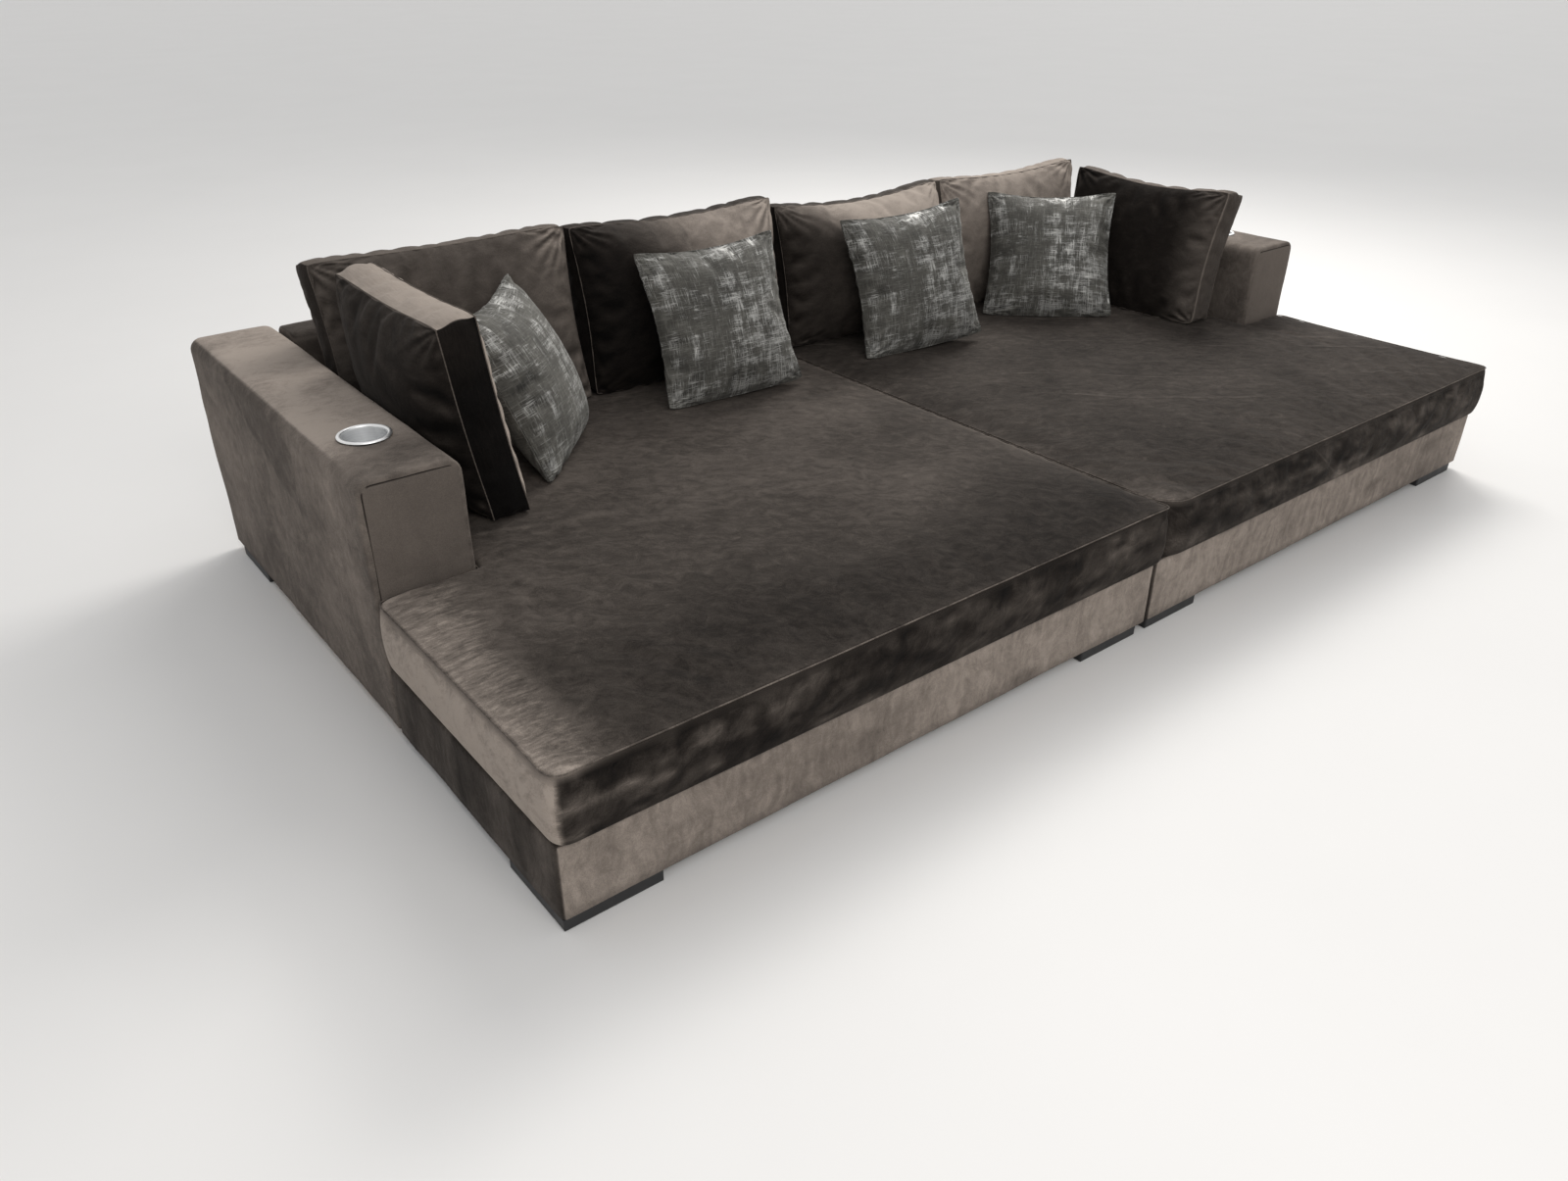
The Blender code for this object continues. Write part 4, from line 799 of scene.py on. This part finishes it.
def cushion_shading(node, u, v, front):
    """How the painted sheen and shade of the pile change across a cushion's face."""
    if node == "back_cushion_outer_left":
        return front * (0.20 * smoothstep(0.3, 1.0, u) - 0.10 * smoothstep(0.2, -0.9, v))
    if node == "back_cushion_inner_left":
        return front * (0.42 * smoothstep(-0.75, 0.6, u + 0.55 * v) - 0.34 * smoothstep(0.35, -0.7, u))
    if node == "back_cushion_inner_right":
        return front * (0.50 * smoothstep(-0.3, 0.8, 0.7 * u + v) - 0.24 * smoothstep(0.0, -0.8, u))
    if node == "back_cushion_outer_right":
        return front * (-0.18 * smoothstep(0.55, -0.5, v) + 0.03 * u)
    if node == "side_cushion_right":
        return front * 0.34 * smoothstep(0.50, 0.95, u)
    return ~front * 0.14 * smoothstep(0.1, 0.9, v)


# Seat cushions and the base share an L-shaped plan


def arm_corner(side):
    """Where the arm's inner face and its front stand: the notch of the L."""
    low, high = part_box(f"arm_cover_{side}")
    return min(abs(low.x), abs(high.x)) - CLEAR, low.y - CLEAR


def seat_plan(side):
    """Inner, outer, front, step and rear edges of the seat, and the arm's face, from the middle or as y."""
    low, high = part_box(f"seat_cushion_{side}")
    arm_face, step = arm_corner(side)
    inner, outer = sorted((abs(low.x), abs(high.x)))
    return inner, outer - SEAT_BULGE, low.y + SEAT_BULGE, step, high.y, arm_face


def seat_lines(low, high):
    """Grid lines from low to high, close together near both ends."""
    steps = max(1, round((high - low - 2 * SEAT_FINE) / SEAT_SPACING))
    between = np.linspace(low + SEAT_FINE, high - SEAT_FINE, steps + 1)
    return np.concatenate([low + FINE_SHARES * SEAT_FINE, between, high - FINE_SHARES[::-1] * SEAT_FINE])


def seat_grid(plan):
    """The seat's top as flat points and faces, and the loop of points along its seam."""
    inner, outer, front, step, rear, arm_face = plan
    overhang = np.linspace(arm_face, outer - SEAT_FINE, OVERHANG_LINES)[1:]
    u_lines = np.concatenate([seat_lines(inner, arm_face), overhang, outer - SEAT_FINE * FINE_SHARES[::-1]])
    y_lines = np.concatenate([seat_lines(front, step), seat_lines(step, rear)[1:]])
    notch_i = int(np.argmin(np.abs(u_lines - arm_face)))
    notch_j = int(np.argmin(np.abs(y_lines - step)))
    last_i, last_j = len(u_lines) - 1, len(y_lines) - 1
    index, flat, faces = {}, [], []
    for i, u in enumerate(u_lines):
        for j, y in enumerate(y_lines):
            if i <= notch_i or j <= notch_j:
                index[i, j] = len(flat)
                flat.append((u, y))
    for i in range(last_i):
        for j in range(last_j):
            if i < notch_i or j < notch_j:
                faces.append([index[i, j], index[i + 1, j], index[i + 1, j + 1], index[i, j + 1]])
    loop = [(i, 0) for i in range(last_i)] + [(last_i, j) for j in range(notch_j)]
    loop += [(i, notch_j) for i in range(last_i, notch_i, -1)]
    loop += [(notch_i, j) for j in range(notch_j, last_j)]
    loop += [(i, last_j) for i in range(notch_i, 0, -1)] + [(0, j) for j in range(last_j, 0, -1)]
    return np.array(flat), faces, np.array([index[at] for at in loop])


def seat_edges(plan):
    """The six edges of the seat, each with the reach of the crown from it."""
    inner, outer, front, step, rear, arm_face = plan
    corners = ((inner, front), (outer, front), (outer, step), (arm_face, step), (arm_face, rear),
               (inner, rear))
    reaches = (FREE_REACH, FREE_REACH, ARM_REACH, ARM_REACH, LOADED_REACH, FREE_REACH)
    return list(zip(corners, corners[1:] + corners[:1], reaches))


def gap_to(points, a, b):
    """How far each point lies from a straight edge that runs along an axis."""
    lows, highs = np.minimum(a, b), np.maximum(a, b)
    return np.hypot(*np.maximum(np.maximum(lows - points, points - highs), 0).T)


def round_corners(side, plan, points):
    """Moves points near each outward corner so that it becomes a quarter circle."""
    inner, outer, front, step, rear, arm_face = plan
    inner_radius, outer_radius, other_radius = SEAT_CORNERS[side]
    corners = (((inner, front), (1, 1), inner_radius), ((outer, front), (-1, 1), outer_radius),
               ((outer, step), (-1, -1), other_radius), ((arm_face, rear), (-1, -1), other_radius),
               ((inner, rear), (1, -1), other_radius))
    for corner, way, radius in corners:
        reach = radius - (points - corner) * way
        inside = (reach > 0).all(1)
        shrink = reach.max(1) / np.maximum(np.hypot(*reach.T), TINY)
        moved = corner + np.array(way) * (radius - reach * shrink[:, None])
        points = np.where(inside[:, None], moved, points)
    return points


def seat_gathers(side, plan, flat):
    """Folds that fan out from the arm's corner and, on the right seat, from its inner front corner."""
    inner, outer, front, step, rear, arm_face = plan
    gathers = 0.0045 * star_folds(*flat.T, (arm_face, step), 9, 5, 0.11)
    if side == "right":
        gathers += 0.0035 * star_folds(*flat.T, (inner, front), 8, 6, 0.09)
    return gathers


def seat_cushion(side):
    """A boxed seat: crowned top, bulging boxing with folds, and a seam around its top."""
    sign = SIDES[side]
    node = f"seat_cushion_{side}"
    plan = seat_plan(side)
    inner, outer, front, step, rear, arm_face = plan
    flat, faces, ring = seat_grid(plan)
    top_count, top_faces = len(flat), len(faces)
    share = np.ones(top_count)
    for a, b, reach in seat_edges(plan):
        share = np.minimum(share, 1 - np.exp(-gap_to(flat, a, b) / reach))
    flat = round_corners(side, plan, flat)
    gathers = seat_gathers(side, plan, flat)
    puckers = PUCKER_DEPTH * soft_noise(np.column_stack([flat, 0 * gathers]), PUCKER_SIZE, 3)
    top = np.column_stack([flat, SEAT_SEAM_HEIGHT + (SEAT_CROWN + puckers + gathers) * share])

    seam = flat[ring]
    ahead = np.roll(seam, -1, 0) - np.roll(seam, 1, 0)
    outward = unit(np.stack([ahead[:, 1], -ahead[:, 0]], 1))
    free_front = np.clip(-outward[:, 1], 0, 1)
    free_outer = np.clip(outward[:, 0], 0, 1) * (seam[:, 1] < step - 0.01)
    along = np.concatenate([[0], np.cumsum(np.linalg.norm(np.diff(seam, axis=0), axis=1))])
    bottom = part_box(node)[0].z
    height = SEAT_SEAM_HEIGHT - bottom
    rows, lanes = [top], [ring]
    for number, wall_share in enumerate(WALL_SHARES):
        rise = wall_share * height
        draw = SEAT_LOWER_ROUND * (1 - math.sqrt(1 - max(0, 1 - rise / SEAT_LOWER_ROUND) ** 2))
        bulge = SEAT_BULGE * math.sin(math.pi * wall_share) * (free_front + free_outer)
        folds = boxing_folds(side, seam, along, wall_share) * (free_front + 0.25 * free_outer)
        place = seam + outward * (bulge + folds - draw)[:, None]
        rows.append(np.column_stack([place, np.full(len(ring), bottom + rise)]))
        lanes.append(top_count + len(ring) * number + np.arange(len(ring)))
    still = np.concatenate(rows)
    still[:, 0] *= sign
    faces += bands(lanes)
    if sign < 0:
        faces = [face[::-1] for face in faces]

    held = np.zeros(len(still), bool)
    held[ring] = held[lanes[-1]] = True
    points = wrinkled(still, faces, held, SEAT_GROWTH, SEAT_PRESSURE, 0.0, 0.9, 16)
    wall = slice(top_count, None)
    wall_shares = np.repeat(WALL_SHARES, len(ring))
    wall_u, wall_y = np.abs(still[wall, 0]), still[wall, 1]
    against = ((wall_u < inner + 0.02) & (wall_y > front + 0.1)) | (wall_y > step - 0.03)
    loose = smoothstep(0.0, 0.40, wall_shares) * ~against
    points[wall] = still[wall] + loose[:, None] * (points[wall] - still[wall])
    cloth = points.copy()
    cloth[wall] = np.column_stack([np.tile(along, len(WALL_SHARES)), wall_shares * height,
                                   np.full(len(wall_shares), 0.5)])
    # Painted sheen of the pile, with painted shade and light along the gathers
    painted_sheen = seat_sheen(side, plan, points, top_count, np.tile(free_outer, len(WALL_SHARES)))
    painted_sheen[:top_count] += 40 * gathers

    underside = flat.copy()
    for a, b, _ in seat_edges(plan):
        run = np.array(b) - np.array(a)
        inward = np.array([-run[1], run[0]]) / np.hypot(*run)
        drawn = SEAT_LOWER_ROUND * np.clip(1 - gap_to(flat, a, b) / SEAT_FINE, 0, 1)
        underside += inward * drawn[:, None]
    below = dict(zip(ring.tolist(), lanes[-1].tolist()))
    others = [k for k in range(top_count) if k not in below]
    below.update({k: len(points) + number for number, k in enumerate(others)})
    low_points = np.column_stack([underside[others] * (sign, 1), np.full(len(others), bottom)])
    faces += [[below[k] for k in reversed(face)] for face in faces[:top_faces]]
    points = np.concatenate([points, low_points])
    cloth = np.concatenate([cloth, low_points])
    painted_sheen = np.concatenate([painted_sheen, np.full(len(others), UNDERSIDE_SHEEN)])

    item = mesh_object(f"{node}_cover", points, faces)
    # Painted light and shade on small folds, none on the seam
    shown = painted_fold_light(item, faces)
    shown[ring] = 0
    paint(item, painted_sheen + 0.7 * shown, cloth)
    dress(item, node, VELVETS["seat"], SEAT_FILL)
    seam_piece(f"{node}_seam", node, VELVETS["seat"], points[ring] + (0, 0, SEAM_RADIUS / 2),
               np.column_stack([outward * (sign, 1), 0.6 + 0 * ring]), SEAM_SHEEN, cloth[ring])
    return tree_of(points, faces)


def boxing_folds(side, seam, along, rise):
    """Folds of the boxing: loose ones everywhere, and slanting ones near the right end of the right seat."""
    height = rise * BOXING_HEIGHT
    slanted = np.stack([along + 1.1 * height, np.full(len(along), height), 0 * along], 1)
    folds = 0.0024 * soft_noise(slanted, (0.085, 0.05, 1), 11)
    folds += 0.0012 * soft_noise(slanted, (0.034, 0.04, 1), 12)
    if side == "right":
        for start, depth in SLANTING_FOLDS:
            line = start + (rise - 0.5) * FOLD_SLANT
            folds += depth * np.exp(-((seam[:, 0] - line) / FOLD_WIDTH) ** 2)
    return folds * math.sin(math.pi * rise) * smoothstep(0.0, 0.35, rise)


def seat_sheen(side, plan, points, top_count, free_outer):
    """The painted sheen and shade of a seat's pile: brushed one way on top, pale on its outer boxing and dark
    at the front.
    """
    inner, outer, front, step, rear, arm_face = plan
    u, y = np.abs(points[:, 0]), points[:, 1]
    cloudy = soft_noise(points, (0.34, 0.26, 1), 21)
    if side == "left":
        painted_sheen = 0.44 + 0.10 * smoothstep(front + 0.6, rear - 0.2, y) + 0.05 * cloudy
        painted_sheen -= 0.19 * smoothstep(front + 0.50, front + 0.10, y) * smoothstep(outer, outer - 0.30, u)
        border = outer - 0.07 - 0.05 * smoothstep(front + 0.2, front + 1.0, y)
        ragged = u + 0.03 * soft_noise(points, (0.05, 0.09, 1), 22)
        painted_sheen += 0.32 * smoothstep(border - 0.10, border + 0.05, ragged)
    else:
        painted_sheen = 0.34 + 0.04 * smoothstep(front + 0.5, rear, y) + 0.07 * cloudy
        painted_sheen += 0.20 * smoothstep(inner + 0.16, inner + 0.02, u) * smoothstep(front + 0.35, front, y)
    wall = points[top_count:]
    rises = np.clip((wall[:, 2] - 0.2) / 0.156, 0, 1)
    crushed = soft_noise(wall, (0.10, 0.10, 0.035), 23)
    fine = soft_noise(wall, (0.03, 0.03, 0.02), 24)
    flecks = smoothstep(0.05, 0.55, soft_noise(wall, (0.055, 0.055, 0.016), 25))
    corner = smoothstep(0.75, 0.10, outer - u[top_count:]) if side == "left" else 0.3
    walls = 0.20 + 0.17 * crushed + 0.12 * fine + 0.06 * rises + (0.12 + 0.20 * corner) * flecks
    pale = 1.0 if side == "left" else 0.5
    painted_sheen[top_count:] = walls + (pale - walls) * smoothstep(0.35, 0.8, free_outer)
    return painted_sheen


# Arms, backs and the base: padded covers with open bottoms


def sliced(bm):
    """Cuts a mesh along even planes on each axis, so that its faces are small enough to shape and paint."""
    points = np.array([vertex.co[:] for vertex in bm.verts])
    low, high = points.min(0), points.max(0)
    for axis, way in enumerate(np.eye(3)):
        steps = max(1, round((high[axis] - low[axis]) / SLICE))
        for step in range(1, steps):
            spot = way * (low + (high - low) * step / steps)
            bmesh.ops.bisect_plane(bm, geom=bm.verts[:] + bm.edges[:] + bm.faces[:], dist=1e-5,
                                   plane_co=spot, plane_no=way)


def near(a, b):
    return abs(a - b) < 1e-4


def box_mesh(low, high):
    bm = bmesh.new()
    bmesh.ops.create_cube(bm, size=1)
    for vertex in bm.verts:
        vertex.co = Vector([low[k] if vertex.co[k] < 0 else high[k] for k in range(3)])
    return bm


def rounded(bm, chosen, radius, segments):
    edges = [edge for edge in bm.edges if chosen(edge.verts[0].co, edge.verts[1].co)]
    bmesh.ops.bevel(bm, geom=edges, offset=radius, segments=segments, profile=0.5, affect="EDGES")


def along_top(top, across):
    """Picks the edges at the top whose ends are level on the axis across them."""
    return lambda a, b: near(a.z, top) and near(b.z, top) and near(a[across], b[across])


def sleeve(low, high, across, radius):
    """A box with its long top edges rounded and its ends softened, open below and cut fine."""
    bm = box_mesh(low, high)
    rounded(bm, along_top(high.z, across), radius, 7)
    lengthwise = 1 - across

    def end_edge(a, b):
        on_end = any(near(a[lengthwise], end) and near(b[lengthwise], end)
                     for end in (low[lengthwise], high[lengthwise]))
        return on_end and not (near(a.z, low.z) and near(b.z, low.z))

    rounded(bm, end_edge, END_EDGE_RADIUS, 3)
    bottom = [face for face in bm.faces if all(near(vertex.co.z, low.z) for vertex in face.verts)]
    bmesh.ops.delete(bm, geom=bottom, context="FACES_ONLY")
    sliced(bm)
    return bm


def paint_by(item, sheen_of):
    """Paints a cover's painted sheen by a rule on its points and normals; its cloth lies where its points
    are.
    """
    points, normals = points_and_normals(item.data)
    paint(item, sheen_of(points, normals), points)


def plain_piece(bm, node, material, sheen_of, suffix="_padded"):
    bmesh.ops.recalc_face_normals(bm, faces=bm.faces)
    item = bmesh_object(node + suffix, bm)
    paint_by(item, sheen_of)
    return dress(item, node, material)


def cover_piece(bm, node, material, sheen_of, soften, seed):
    """A cover from its bmesh: thickness, slight unevenness and the painted sheen of its pile."""
    item = plain_piece(bm, node, material, sheen_of)
    points, normals = points_and_normals(item.data)
    uneven = soft_noise(points, 0.14, seed) + 0.5 * soft_noise(points, 0.05, seed + 1)
    moved = points + normals * (soften * uneven - soften)[:, None]
    item.data.vertices.foreach_set("co", moved.astype(np.float32).ravel())
    shell = item.modifiers.new("thickness", "SOLIDIFY")
    shell.thickness = COVER_THICKNESS
    shell.offset = -1
    shell.use_even_offset = True
    return item


def arm_sheen(low, high, sign):
    """The arm's painted sheen: paler on top towards the rear, with a curved brush mark in darker painted
    bands on its outer face.
    """
    def sheen_of(points, normals):
        y, z = points[:, 1], points[:, 2]
        cloudy = 0.05 * soft_noise(points, (0.30, 0.16, 0.2), 31)
        painted_sheen = ARM_SHEEN + cloudy + (normals[:, 2] > 0.6) * 0.31 * smoothstep(low.y + 0.05, low.y + 0.35, y)
        share = np.clip(((high.y - y) / (high.y - low.y) - 0.20) / 0.62, 0, 1)
        curve = high.z + 0.02 - 0.26 * np.sin(math.pi / 2 * share) + 0.012 * soft_noise(points, 0.22, 33)
        rise = z - curve
        band = np.exp(-np.maximum(rise, 0) / 0.06) * smoothstep(-0.012, 0.004, rise)
        stripes = 1 + 0.45 * np.cos(math.tau * rise / 0.036)
        return np.where(normals[:, 0] * sign > 0.6, ARM_SHEEN + cloudy - 0.11 * band * stripes, painted_sheen)

    return sheen_of


def arm(side):
    """The arm's sleeve, with the hole for the cup."""
    node = f"arm_cover_{side}"
    low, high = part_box(node)
    sheen_of = arm_sheen(low, high, SIDES[side])
    item = cover_piece(sleeve(low, high, 0, ARM_EDGE_RADIUS), node, VELVETS["arm"], sheen_of, ARM_UNEVEN, 41)
    cup_low, cup_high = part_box(f"cup_holder_{side}")
    centre = (cup_low + cup_high) / 2
    cut = bmesh.new()
    bmesh.ops.create_cone(cut, cap_ends=True, segments=CUP_STEPS // 2, depth=CUP_HOLE_DEPTH,
                          radius1=CUP_HOLE_RADIUS, radius2=CUP_HOLE_RADIUS,
                          matrix=Matrix.Translation((centre.x, centre.y, high.z)))
    hole = bmesh_object("cup_hole", cut)
    boolean = item.modifiers.new("cup hole", "BOOLEAN")
    boolean.object = hole
    boolean.solver = "EXACT"
    graph = bpy.context.evaluated_depsgraph_get()
    made = bpy.data.meshes.new_from_object(item.evaluated_get(graph), depsgraph=graph)
    item.modifiers.clear()
    item.data = made
    discard(hole)
    paint_by(item, sheen_of)


def arm_panel(side):
    """The board that closes the arm's front, with a painted shadow line along its outer and top edges where
    it meets the cover.
    """
    node = f"arm_front_panel_{side}"
    low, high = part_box(node)
    bm = box_mesh(low, high)
    rounded(bm, along_top(high.z, 0), ARM_EDGE_RADIUS - PANEL_INSET, 6)
    rounded(bm, lambda a, b: near(a.y, low.y) and near(b.y, low.y), PANEL_FRONT_RADIUS, 3)
    sliced(bm)
    outer_edge = max(abs(low.x), abs(high.x))

    def sheen_of(points, normals):
        rim = (np.abs(points[:, 0]) > outer_edge - PANEL_SHADOW_WIDTH) | (points[:, 2] > high.z - PANEL_SHADOW_WIDTH)
        return np.where(rim, PANEL_SHADOW_LINE, PANEL_SHEEN[side] + 0.03 * soft_noise(points, 0.12, 51))

    plain_piece(bm, node, VELVETS["panel"], sheen_of)


def back(side):
    node = f"back_cover_{side}"
    low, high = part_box(node)

    # Painted sheen: a little uneven, and darker on the top faces
    def sheen_of(points, normals):
        cloudy = soft_noise(points, (0.30, 0.2, 0.22), 61)
        return BACK_SHEEN + 0.07 * cloudy - 0.18 * (normals[:, 2] > 0.6)

    cover_piece(sleeve(low, high, 1, BACK_EDGE_RADIUS), node, VELVETS["arm"], sheen_of, ARM_UNEVEN, 63)


def base(side):
    """The base's cover over an L-shaped plan, with crisp upright seams."""
    node = f"base_cover_{side}"
    low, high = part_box(node)
    inner, outer = sorted((abs(low.x), abs(high.x)))
    arm_face, step = arm_corner(side)
    outline = ((inner, low.y), (outer, low.y), (outer, step), (arm_face, step), (arm_face, high.y),
               (inner, high.y))
    bm = bmesh.new()
    lower = [bm.verts.new((SIDES[side] * u, y, low.z)) for u, y in outline]
    upper = [bm.verts.new((SIDES[side] * u, y, high.z)) for u, y in outline]
    bm.faces.new(upper)
    for here in range(len(outline)):
        there = (here + 1) % len(outline)
        bm.faces.new((lower[here], lower[there], upper[there], upper[here]))
    bmesh.ops.recalc_face_normals(bm, faces=bm.faces)

    def outer_edge(a, b):
        upright = near(a.x, b.x) and near(a.y, b.y)
        re_entrant = upright and near(abs(a.x), arm_face) and near(a.y, step)
        return (upright and not re_entrant) or (near(a.z, high.z) and near(b.z, high.z))

    rounded(bm, outer_edge, BASE_EDGE_RADIUS, 4)
    sliced(bm)

    # Painted sheen by face: light on the front, darker on the ends and the rest, with darker crushed blotches
    # on the front
    def sheen_of(points, normals):
        streaks = soft_noise(points, (0.05, 0.05, 0.22), 71)
        cloudy = soft_noise(points, (0.22, 0.22, 0.12), 72)
        blotch = smoothstep(0.45, 0.8, soft_noise(points, (0.16, 0.1, 0.05), 73))
        front = BASE_SHEEN["front"] + 0.06 * cloudy - 0.18 * blotch
        ends = BASE_SHEEN["side"] + 0.16 * streaks + 0.10 * cloudy
        painted_sheen = np.where(normals[:, 1] < -0.6, front, BASE_SHEEN["rest"])
        return np.where(np.abs(normals[:, 0]) > 0.6, ends, painted_sheen)

    cover_piece(bm, node, VELVETS["base"], sheen_of, BASE_UNEVEN, 75)


def arc(x, z, width, height, start, end, steps):
    """Points of a profile along an arc about a centre, at angles from the horizontal."""
    angles = [start + (end - start) * step / steps for step in range(steps + 1)]
    return [(x + width * math.cos(angle), z + height * math.sin(angle)) for angle in angles]


def cup(side):
    """The cup turned from sheet: rolled rim, straight wall and a dished floor."""
    node = f"cup_holder_{side}"
    low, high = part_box(node)
    lip = CUP_MOUTH_RADIUS - 2 * CUP_WALL
    inside = CUP_BODY_RADIUS - CUP_WALL
    outer, inner = CUP_FLOOR_ROUNDS
    down = -math.pi / 2
    profile = [(0, -CUP_DEPTH), (CUP_BODY_RADIUS - 0.010, -CUP_DEPTH)]
    profile += arc(CUP_BODY_RADIUS - outer, outer - CUP_DEPTH, outer, outer, down, 0, 6)
    profile += [(CUP_BODY_RADIUS, -0.004), (CUP_BODY_RADIUS + 0.0006, -0.001)]
    profile += arc((CUP_RIM_RADIUS + lip) / 2, 0.0002, (CUP_RIM_RADIUS - lip) / 2, CUP_ROLL, 0, math.pi, 8)
    profile += [(inside, -0.003)]
    profile += arc(inside - inner, CUP_WALL + inner - CUP_DEPTH, inner, inner, 0, down, 6)
    profile += [(0, CUP_WALL - CUP_DEPTH)]
    bm = bmesh.new()
    verts = [bm.verts.new((radius, 0, height)) for radius, height in profile]
    edges = [bm.edges.new(pair) for pair in zip(verts, verts[1:])]
    bmesh.ops.spin(bm, geom=verts + edges, axis=(0, 0, 1), cent=(0, 0, 0), angle=math.tau, steps=CUP_STEPS,
                   use_merge=True)
    bmesh.ops.remove_doubles(bm, verts=bm.verts, dist=1e-6)
    middle = ((low.x + high.x) / 2, (low.y + high.y) / 2, high.z - CUP_SEAT)
    bmesh.ops.translate(bm, verts=bm.verts, vec=middle)
    item = plain_piece(bm, node, METALS["aluminium"], lambda points, normals: 0 * points[:, 0],
                       "_turned")
    item.data.set_sharp_from_angle(angle=math.radians(50))


# Stage, lights and camera


def stage():
    bm = bmesh.new()
    bmesh.ops.create_grid(bm, x_segments=1, y_segments=1, size=FLOOR_SIZE)
    floor = bmesh_object("floor", bm)
    floor.location = (0, 0, cad_low.z - FLOOR_DROP)
    floor.data.materials.append(floor_paint())


def aimed(name, data, way):
    """Places a light that shines along the given way."""
    item = placed(name, data)
    item.rotation_euler = Vector(way).to_track_quat("-Z", "Y").to_euler()
    return item


def lights():
    for name, (place, target, size, watts, colour) in AREA_LIGHTS.items():
        light = bpy.data.lights.new(name, "AREA")
        light.shape = "RECTANGLE"
        light.size, light.size_y = size
        light.energy = watts
        light.color = colour
        item = aimed(name, light, Vector(target) - Vector(place))
        item.location = place
    far = bpy.data.lights.new("far", "SUN")
    far.energy = SUN_STRENGTH
    far.angle = SUN_ANGLE
    far.color = SUN_COLOUR
    aimed("far", far, SUN_WAY)


def world():
    """A soft even light, seen by the camera and in reflections as a pale wall."""
    studio = bpy.data.worlds.new("studio")
    bpy.context.scene.world = studio
    studio.use_nodes = True
    tree = studio.node_tree
    light = tree.nodes["Background"]
    light.inputs["Color"].default_value = WORLD_COLOUR
    light.inputs["Strength"].default_value = WORLD_STRENGTH
    seen = tree.nodes.new("ShaderNodeBackground")
    seen.inputs["Color"].default_value = SEEN_COLOUR
    path = tree.nodes.new("ShaderNodeLightPath")
    mixer = tree.nodes.new("ShaderNodeMixShader")
    direct = tree.nodes.new("ShaderNodeMath")
    direct.operation = "MAXIMUM"
    for source, target in ((path.outputs["Is Camera Ray"], direct.inputs[0]),
                           (path.outputs["Is Glossy Ray"], direct.inputs[1]),
                           (direct.outputs[0], mixer.inputs[0]),
                           (light.outputs[0], mixer.inputs[1]),
                           (seen.outputs[0], mixer.inputs[2]),
                           (mixer.outputs[0], tree.nodes["World Output"].inputs["Surface"])):
        tree.links.new(source, target)
    bpy.context.scene.view_settings.view_transform = "Standard"


def camera():
    data = bpy.data.cameras.new("camera")
    data.sensor_width = SENSOR_WIDTH
    data.lens = SENSOR_WIDTH * FOCAL_PIXELS / PHOTO_WIDTH
    level = math.cos(CAMERA_PITCH)
    forward = Vector((math.cos(CAMERA_YAW) * level, math.sin(CAMERA_YAW) * level, math.sin(CAMERA_PITCH)))
    right = forward.cross(Vector((0, 0, 1))).normalized()
    aim = Matrix((right, right.cross(forward), -forward)).transposed() @ Matrix.Rotation(CAMERA_ROLL, 3, "Z")
    item = placed("camera", data)
    item.matrix_world = Matrix.Translation(CAMERA_PLACE) @ aim.to_4x4()
    bpy.context.scene.camera = item


# The sofa

VELVETS = {
    "cushion": velvet("cushion velvet", mottle=0.06, blotch=0.07, streak=0.04, streak_size=(16, 34, 20)),
    "seat": velvet("seat velvet", mottle=0.08, blotch=0.13, streak=0.05, streak_size=(20, 46, 30),
                   turn=math.radians(-37), crease_highlight=0.12, feather=0.17),
    "arm": velvet("arm velvet", mottle=0.12, blotch=0.10, streak=0.05, streak_size=(14, 14, 20)),
    "base": velvet("base velvet", mottle=0.06, blotch=0.08, streak=0.09, streak_size=(46, 46, 9)),
    "panel": velvet("panel velvet", mottle=0.03, blotch=0.02, streak=0.02, fibre=0.05),
}
FOIL = foil_print()
METALS = {
    "aluminium": brushed_metal("brushed aluminium", (0.93, 0.94, 0.95), 0.38, (12, 12, 900)),
    "steel": brushed_metal("zinc-plated steel", (0.56, 0.57, 0.60), 0.40, (200, 200, 200)),
}
HIDDEN = {
    "seat_frame": timber(),
    "seat_webbing": woven("webbing", (0.020, 0.017, 0.015), (0.075, 0.062, 0.050), 700),
    "dust_cover": woven("dust cloth", (0.006, 0.006, 0.006), (0.018, 0.018, 0.018), 1500),
    "foot": black_plastic(),
    "seat_core": foam(),
}
HIDDEN["arm_frame"] = HIDDEN["back_frame"] = HIDDEN["seat_frame"]
HIDDEN["arm_bolt"] = HIDDEN["back_bolt"] = METALS["steel"]

for name, node in frame["nodes"].items():
    for start, material in HIDDEN.items():
        if name.startswith(start):
            node.data.materials.clear()
            node.data.materials.append(material)

for side in SIDES:
    base(side)
    arm(side)
    arm_panel(side)
    cup(side)

for side in SIDES:
    back(side)

seats = [seat_cushion(side) for side in SIDES]
for side in SIDES:
    back_tree, arm_tree = node_tree(f"back_cover_{side}"), node_tree(f"arm_cover_{side}")
    inner = loose_cushion("back_cushion", f"inner_{side}", seats + [back_tree])
    outer = loose_cushion("back_cushion", f"outer_{side}", seats + [back_tree])
    leaning = loose_cushion("side_cushion", side, seats + [arm_tree, outer])
    loose_cushion("throw_pillow", f"middle_{side}", seats + [inner])
    loose_cushion("throw_pillow", f"corner_{side}", seats + [outer, leaning])

stage()
lights()
world()
camera()
